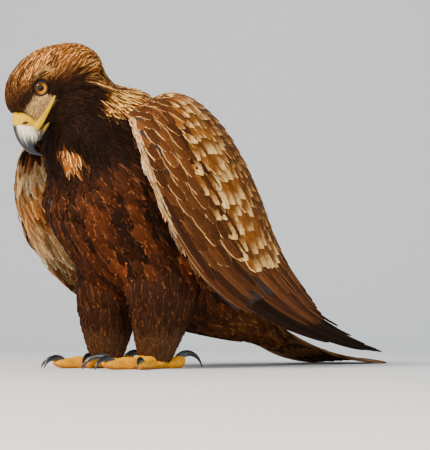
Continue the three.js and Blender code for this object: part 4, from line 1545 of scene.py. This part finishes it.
def fused(obj, voxel, rounds):
    """Remeshes overlapping closed parts into one smooth surface."""
    change(obj, "REMESH", mode="VOXEL", voxel_size=voxel * MM, use_smooth_shade=True)
    change(obj, "SMOOTH", factor=0.5, iterations=rounds)
    return baked(obj)


WAX = painted_finish(
    "waxy yellow skin", 900.0, (0.86, 1.12), 0.25, Roughness=0.6, Specular_IOR_Level=0.15, **KERATIN
)
grids = [profile_grid(CERE, 14, 40)[0]]
for hand, _ in BOTH:
    strip = [(*in_mm(in_head(f, side * hand, u)), wide, deep) for f, side, u, wide, deep in GAPE]
    grids.append(ORIGIN + limb_grid(strip, head_left, 26, 14) * MM)
cere = fused(merged("cere_skin", *grids), 0.6, 7)
f, _, u = to_head(places(cere.data)[0]).T
yellow = paint(even("#d2a400", len(f)), "#d39a00", bump_at(u, -9, 4) * bump_at(f, 44, 5))
finished(cere, WAX, ["cere"], yellow)
print("cere triangles:", 2 * len(cere.data.polygons))

# %% Nostrils
PIT = painted_finish("shaded hollow", 500.0, (0.8, 1.1), 0.1, Roughness=0.7, **KERATIN)
SLANT = math.radians(45)
x, y, z = np.moveaxis(ball_grid((0, 0, 0), (3.6, 1.2, 1.7), 10, 16), -1, 0)
f = x * math.cos(SLANT) - z * math.sin(SLANT)
u = x * math.sin(SLANT) + z * math.cos(SLANT)
grids = [in_head(43.6 + f, hand * (13.3 + y - 0.16 * f), -6.4 + u) for hand, _ in BOTH]
finished(merged("nostrils", *grids), PIT, ["cere"], even("#2a1606", 2 * x.size))
print("nostril points:", 2 * x.size)

# %% [markdown]
# ## Eyes
# An eagle's eye is huge, set deep under a bony brow and looks out and a little forward. The ball
# bulges at the clear cornea. Its colours depend on the distance from the eye's own axis, which
# every point of the ball carries: a black pupil, an amber iris that is brighter below and darkened
# above by painted shade from the brow, and a black ring where the lids close on it. A smooth
# surface with a thin clear coat looks wet.

# %% Eyeballs
EYE_RADIUS, EYE_OUT = 9.4, 21.5


def eye_local(hand, polar, turn, radius):
    """Points round an eye: polar angle from its axis, and turn from forward towards up."""
    out = unit(head_left * hand + head_forward * 0.2 + head_up * 0.02)
    ahead = unit(square(head_forward, out))
    high = -np.cross(out, ahead) * hand
    high = high if high @ head_up > 0 else -high
    ways = on_ball(polar, turn) @ np.array([ahead, high, out])
    return in_head(EYE_AHEAD, EYE_OUT * hand, 0) + ways * (radius * MM)[..., None]


def eye_finish():
    made, tree, shader = material(
        "wet amber eye", Roughness=0.08, IOR=1.34,
        Coat_Weight=0.1, Coat_Roughness=0.02, Specular_IOR_Level=0.3,
    )

    def steps(fac, *stops):
        """A colour ramp through (position, colour) stops."""
        node = add(tree, "ShaderNodeValToRGB", {"Fac": fac})
        while len(node.color_ramp.elements) < len(stops):
            node.color_ramp.elements.new(1.0)
        for element, (at, tint) in zip(node.color_ramp.elements, stops):
            element.position, element.color = at, tint
        return node, "Color"

    def vector(kind, *inputs):
        return add(tree, "ShaderNodeVectorMath", dict(enumerate(inputs)), operation=kind)

    gaze = add(tree, "ShaderNodeAttribute", attribute_name="gaze")
    parts = add(tree, "ShaderNodeSeparateXYZ", {"Vector": (gaze, "Vector")})
    flat = (add(tree, "ShaderNodeCombineXYZ", {"X": (parts, "X"), "Y": (parts, "Y")}), "Vector")
    spoke = (vector("NORMALIZE", flat), "Vector")
    streak = add(tree, "ShaderNodeTexNoise", {"Vector": spoke, "Scale": 9.0, "Detail": 3.0})
    # painted shade: the iris turns dark towards its top, where the brow shades it, and bright amber below
    shade_under_brow = add(tree, "ShaderNodeMapRange", {"Value": (parts, "Y"), "From Min": 0.5, "From Max": -0.6})
    iris = steps((shade_under_brow, "Result"), (0.34, rgba("#5a3314")), (0.8, rgba("#e8930f")))
    level = add(tree, "ShaderNodeMapRange", {"Value": (streak, "Fac"), "To Min": 0.6, "To Max": 1.3})
    lit = add(tree, "ShaderNodeVectorMath", {0: iris, 3: (level, "Result")}, operation="SCALE")
    black, white, rim = ((v, v, v, 1) for v in (0, 1, 0.02))
    away = (vector("LENGTH", flat), "Value")
    zones = steps(away, (0.34, black), (0.38, white), (0.74, white), (0.8, rim))
    seen = vector("MULTIPLY", (lit, "Vector"), zones)
    tree.links.new(seen.outputs["Vector"], shader.inputs["Base Color"])
    return made


EYE = eye_finish()


def eyeball(hand, eye):
    """A ball with a cornea that bulges in front of the iris."""
    polar = np.concatenate([[0.015], np.linspace(0.06, 1.5, 30), np.linspace(1.6, 3.12, 12)])[:, None]
    polar, turn = np.broadcast_arrays(polar, circle(48)[None])
    cornea = 0.8 * np.exp(-((polar / math.radians(34)) ** 2))
    ball = merged(eye + "_eyeball", eye_local(hand, polar, turn, EYE_RADIUS + cornea))
    give(ball.data, "gaze", "FLOAT_VECTOR", on_ball(polar, turn).reshape(-1, 3))
    finished(ball, EYE, [eye + "_eye"])


# %% [markdown]
# The lids are bare dark skin. Each pair is one hoop round the opening with a rounded lip, a little
# flattened above, and on the upper side its outer slope fades to a painted grey highlight under the
# brow.

# %% Lids
LID = painted_finish("bare lid skin", 1100.0, (0.75, 1.2), 0.2, Roughness=0.5, **KERATIN)
LIP = np.array([  # distance from the opening's edge and from the eye's middle
    (0.0, 9.45), (-0.25, 9.9), (0.0, 10.35), (0.45, 10.6), (1.1, 10.55), (1.9, 10.2), (2.9, 9.5),
    (2.9, 8.6), (1.0, 8.8),
])
LID_STEPS, OPEN_WIDE, OPEN_ABOVE, OPEN_BELOW = 64, 7.6, 6.5, 7.6
turn = circle(LID_STEPS)[:, None]
high = np.sin(turn)
opening = np.hypot(np.cos(turn) * OPEN_WIDE, high * np.where(high > 0, OPEN_ABOVE, OPEN_BELOW))
polar = np.arcsin(np.clip((opening + LIP[:, 0]) / 10.0, 0, 0.999))
radius = np.broadcast_to(LIP[:, 1], polar.shape)
# painted highlight: the outer slope of the lids turns grey on the upper side only
outer = (ramp(1.8, 2.9, LIP[:, 0]) * ramp(0.0, 0.9, high)).ravel()
for hand, eye in BOTH:
    eyeball(hand, eye)
    verts = eye_local(hand, polar, np.broadcast_to(turn, polar.shape), radius).reshape(-1, 3)
    lids = outward(mesh_object(eye + "_lids", verts, ring_faces(0, *polar.shape, closed=True)))
    bare = paint(even("#120f0e", len(verts)), "#8a7d6c", outer)
    finished(lids, LID, ["head"], bare)
print("lid points:", 2 * polar.size)

# %% [markdown]
# ## Feet
# Four toes with pads below each joint carry black curved claws. The skin is yellow and scaly:
# wide scutes cross the top of each toe, and small grains cover the rest. The toes and the ball of
# the foot are modelled as ribbed limbs, then fused by a fine remesh into one skin.

# %% Toes and claws
FOOT_AT = np.array((43, 14, 0))
# direction in degrees, length of the toe and length round the claw
TOES = {"inner": (-30, 52, 40), "middle": (2, 66, 34), "outer": (34, 54, 30), "hind": (176, 40, 48)}
PADS = [  # share along the toe, height, thickness
    (0, 7.6, 1.1), (0.2, 6.8, 1.12), (0.36, 6.4, 0.92), (0.52, 6.2, 1.04), (0.68, 5.6, 0.86),
    (0.84, 5.4, 0.94), (0.97, 4.9, 0.74), (1.03, 4.8, 0.62), (1.07, 4.8, 0.36),
]
TOE_THICK, TOE_FROM, SCUTE, RIB = 8.2, 6, 3.6, 0.12
CLAW_TURN, CLAW_START, CLAW_TIP = math.radians(118), math.radians(-42), 0.7
CLAW_THICK, CLAW_END, CLAW_RINGS, CLAW_SIDES = 5.2, 0.5, 40, 18


def toe_axes(angle):
    """Unit directions across a toe and along it."""
    c, s = math.cos(angle), math.sin(angle)
    return np.array((c, s, 0)), np.array((s, -c, 0))


def on_toe(angle, distance, up):
    return FOOT_AT + toe_axes(angle)[1] * distance + (0, 0, up)


def claw_root(arc):
    """How high a claw's root sits when its tip rests on the floor."""
    return arc / CLAW_TURN * (math.cos(CLAW_START) - math.cos(CLAW_START + CLAW_TURN)) + CLAW_TIP


def toe_grid(angle, length, arc):
    rows = []
    for share, up, thick in PADS:
        rise = min(1, max(0, (share - 0.5) / 0.5) ** 1.5)
        rounded = math.sqrt(1 - max(0, (share - 0.9) / 0.18) ** 2)
        centre = up + (claw_root(arc) * 0.72 - up) * rise
        deep = TOE_THICK * thick * 0.95
        deep = (deep + (claw_root(arc) * 0.72 - 0.9 - deep) * rise) * rounded
        rows.append((*on_toe(angle, TOE_FROM + share * length, centre), TOE_THICK * thick, deep))
    across, along = toe_axes(angle)
    toe_up = np.sign(np.cross(across, along)[2])

    def ribs(t, turn):
        phase = (t * length / SCUTE) % 1
        return 1 + ramp(-0.1, 0.6, np.sin(turn) * toe_up) * RIB * (phase**0.6 - 0.55)

    return limb_grid(rows, across, 110, 28, ribs)


def claw_grid(angle, length, arc):
    radius = arc / CLAW_TURN
    rows = []
    for share in np.linspace(0, 1, 12):
        turn = CLAW_START + share * CLAW_TURN
        out = length + radius * (math.sin(turn) - math.sin(CLAW_START))
        up = claw_root(arc) - radius * (math.cos(CLAW_START) - math.cos(turn))
        thick = CLAW_THICK + (CLAW_END - CLAW_THICK) * share**1.15
        rows.append((*on_toe(angle, out, up), thick * 0.82, thick))
    grid = limb_grid(rows, toe_axes(angle)[0], CLAW_RINGS, CLAW_SIDES)
    grid[..., 2] += 0.1 - grid[..., 2].min()
    return grid


def for_toes(make, mirror):
    """One grid for each toe, in metres, on the foot that mirror gives."""
    return [ORIGIN + make(math.radians(a), long, arc) * mirror * MM for a, long, arc in TOES.values()]


CLAW = painted_finish(
    "black horn of the claws", 380.0, (0.8, 1.25), 0.06, Roughness=0.24, Coat_Weight=0.3, **POLISH
)
SCALES = painted_finish(
    "scaly yellow skin", 620.0, (0.72, 1.18), 0.35, Roughness=0.6, Specular_IOR_Level=0.2, **KERATIN
)
share = np.tile(np.repeat(np.linspace(0, 1, CLAW_RINGS), CLAW_SIDES), len(TOES))
shade = paint(even("#4a4c4f", len(share)), "#15161a", ramp(0.0, 0.45, share))
for hand, foot in BOTH:
    mirror = np.array((hand, 1, 1))
    ball = ball_grid(FOOT_AT + (0, 2, 9), (16.5, 16.5, 11.5))
    toes = merged(foot + "_toes", *for_toes(toe_grid, mirror), ORIGIN + ball * mirror * MM)
    at, facing, _ = places(fused(toes, 0.8, 2).data)
    at[:, 2] = np.maximum(at[:, 2], 0.0002)
    toes.data.vertices.foreach_set("co", at.ravel())
    up = facing[:, 2]
    from_ankle = np.linalg.norm((in_mm(at) - FOOT_AT * mirror)[:, :2], axis=1)
    groove = ramp(0.3, 0.05, ((from_ankle - TOE_FROM) / SCUTE) % 1) * ramp(-0.1, 0.5, up)
    # painted shade and painted light: the yellow is darker on the toes' undersides and paler on their
    # tops
    tint = paint(even("#e59d00", len(at)), "#b56a08", ramp(-0.2, -0.8, up) * 0.7)
    tint = paint(tint, "#eeb010", ramp(0.5, 1.0, up) * 0.5)
    tint = paint(tint, "#8a4f04", groove * ramp(16, 20, from_ankle) * 0.75)
    finished(toes, SCALES, [foot + "_foot"], tint)
    claws = merged(foot + "_claws_horn", *for_toes(claw_grid, mirror))
    finished(claws, CLAW, [foot + "_" + name + "_claw" for name in TOES], shade)
    print(foot, "foot triangles:", 2 * len(toes.data.polygons), "claws:", 2 * len(claws.data.polygons))
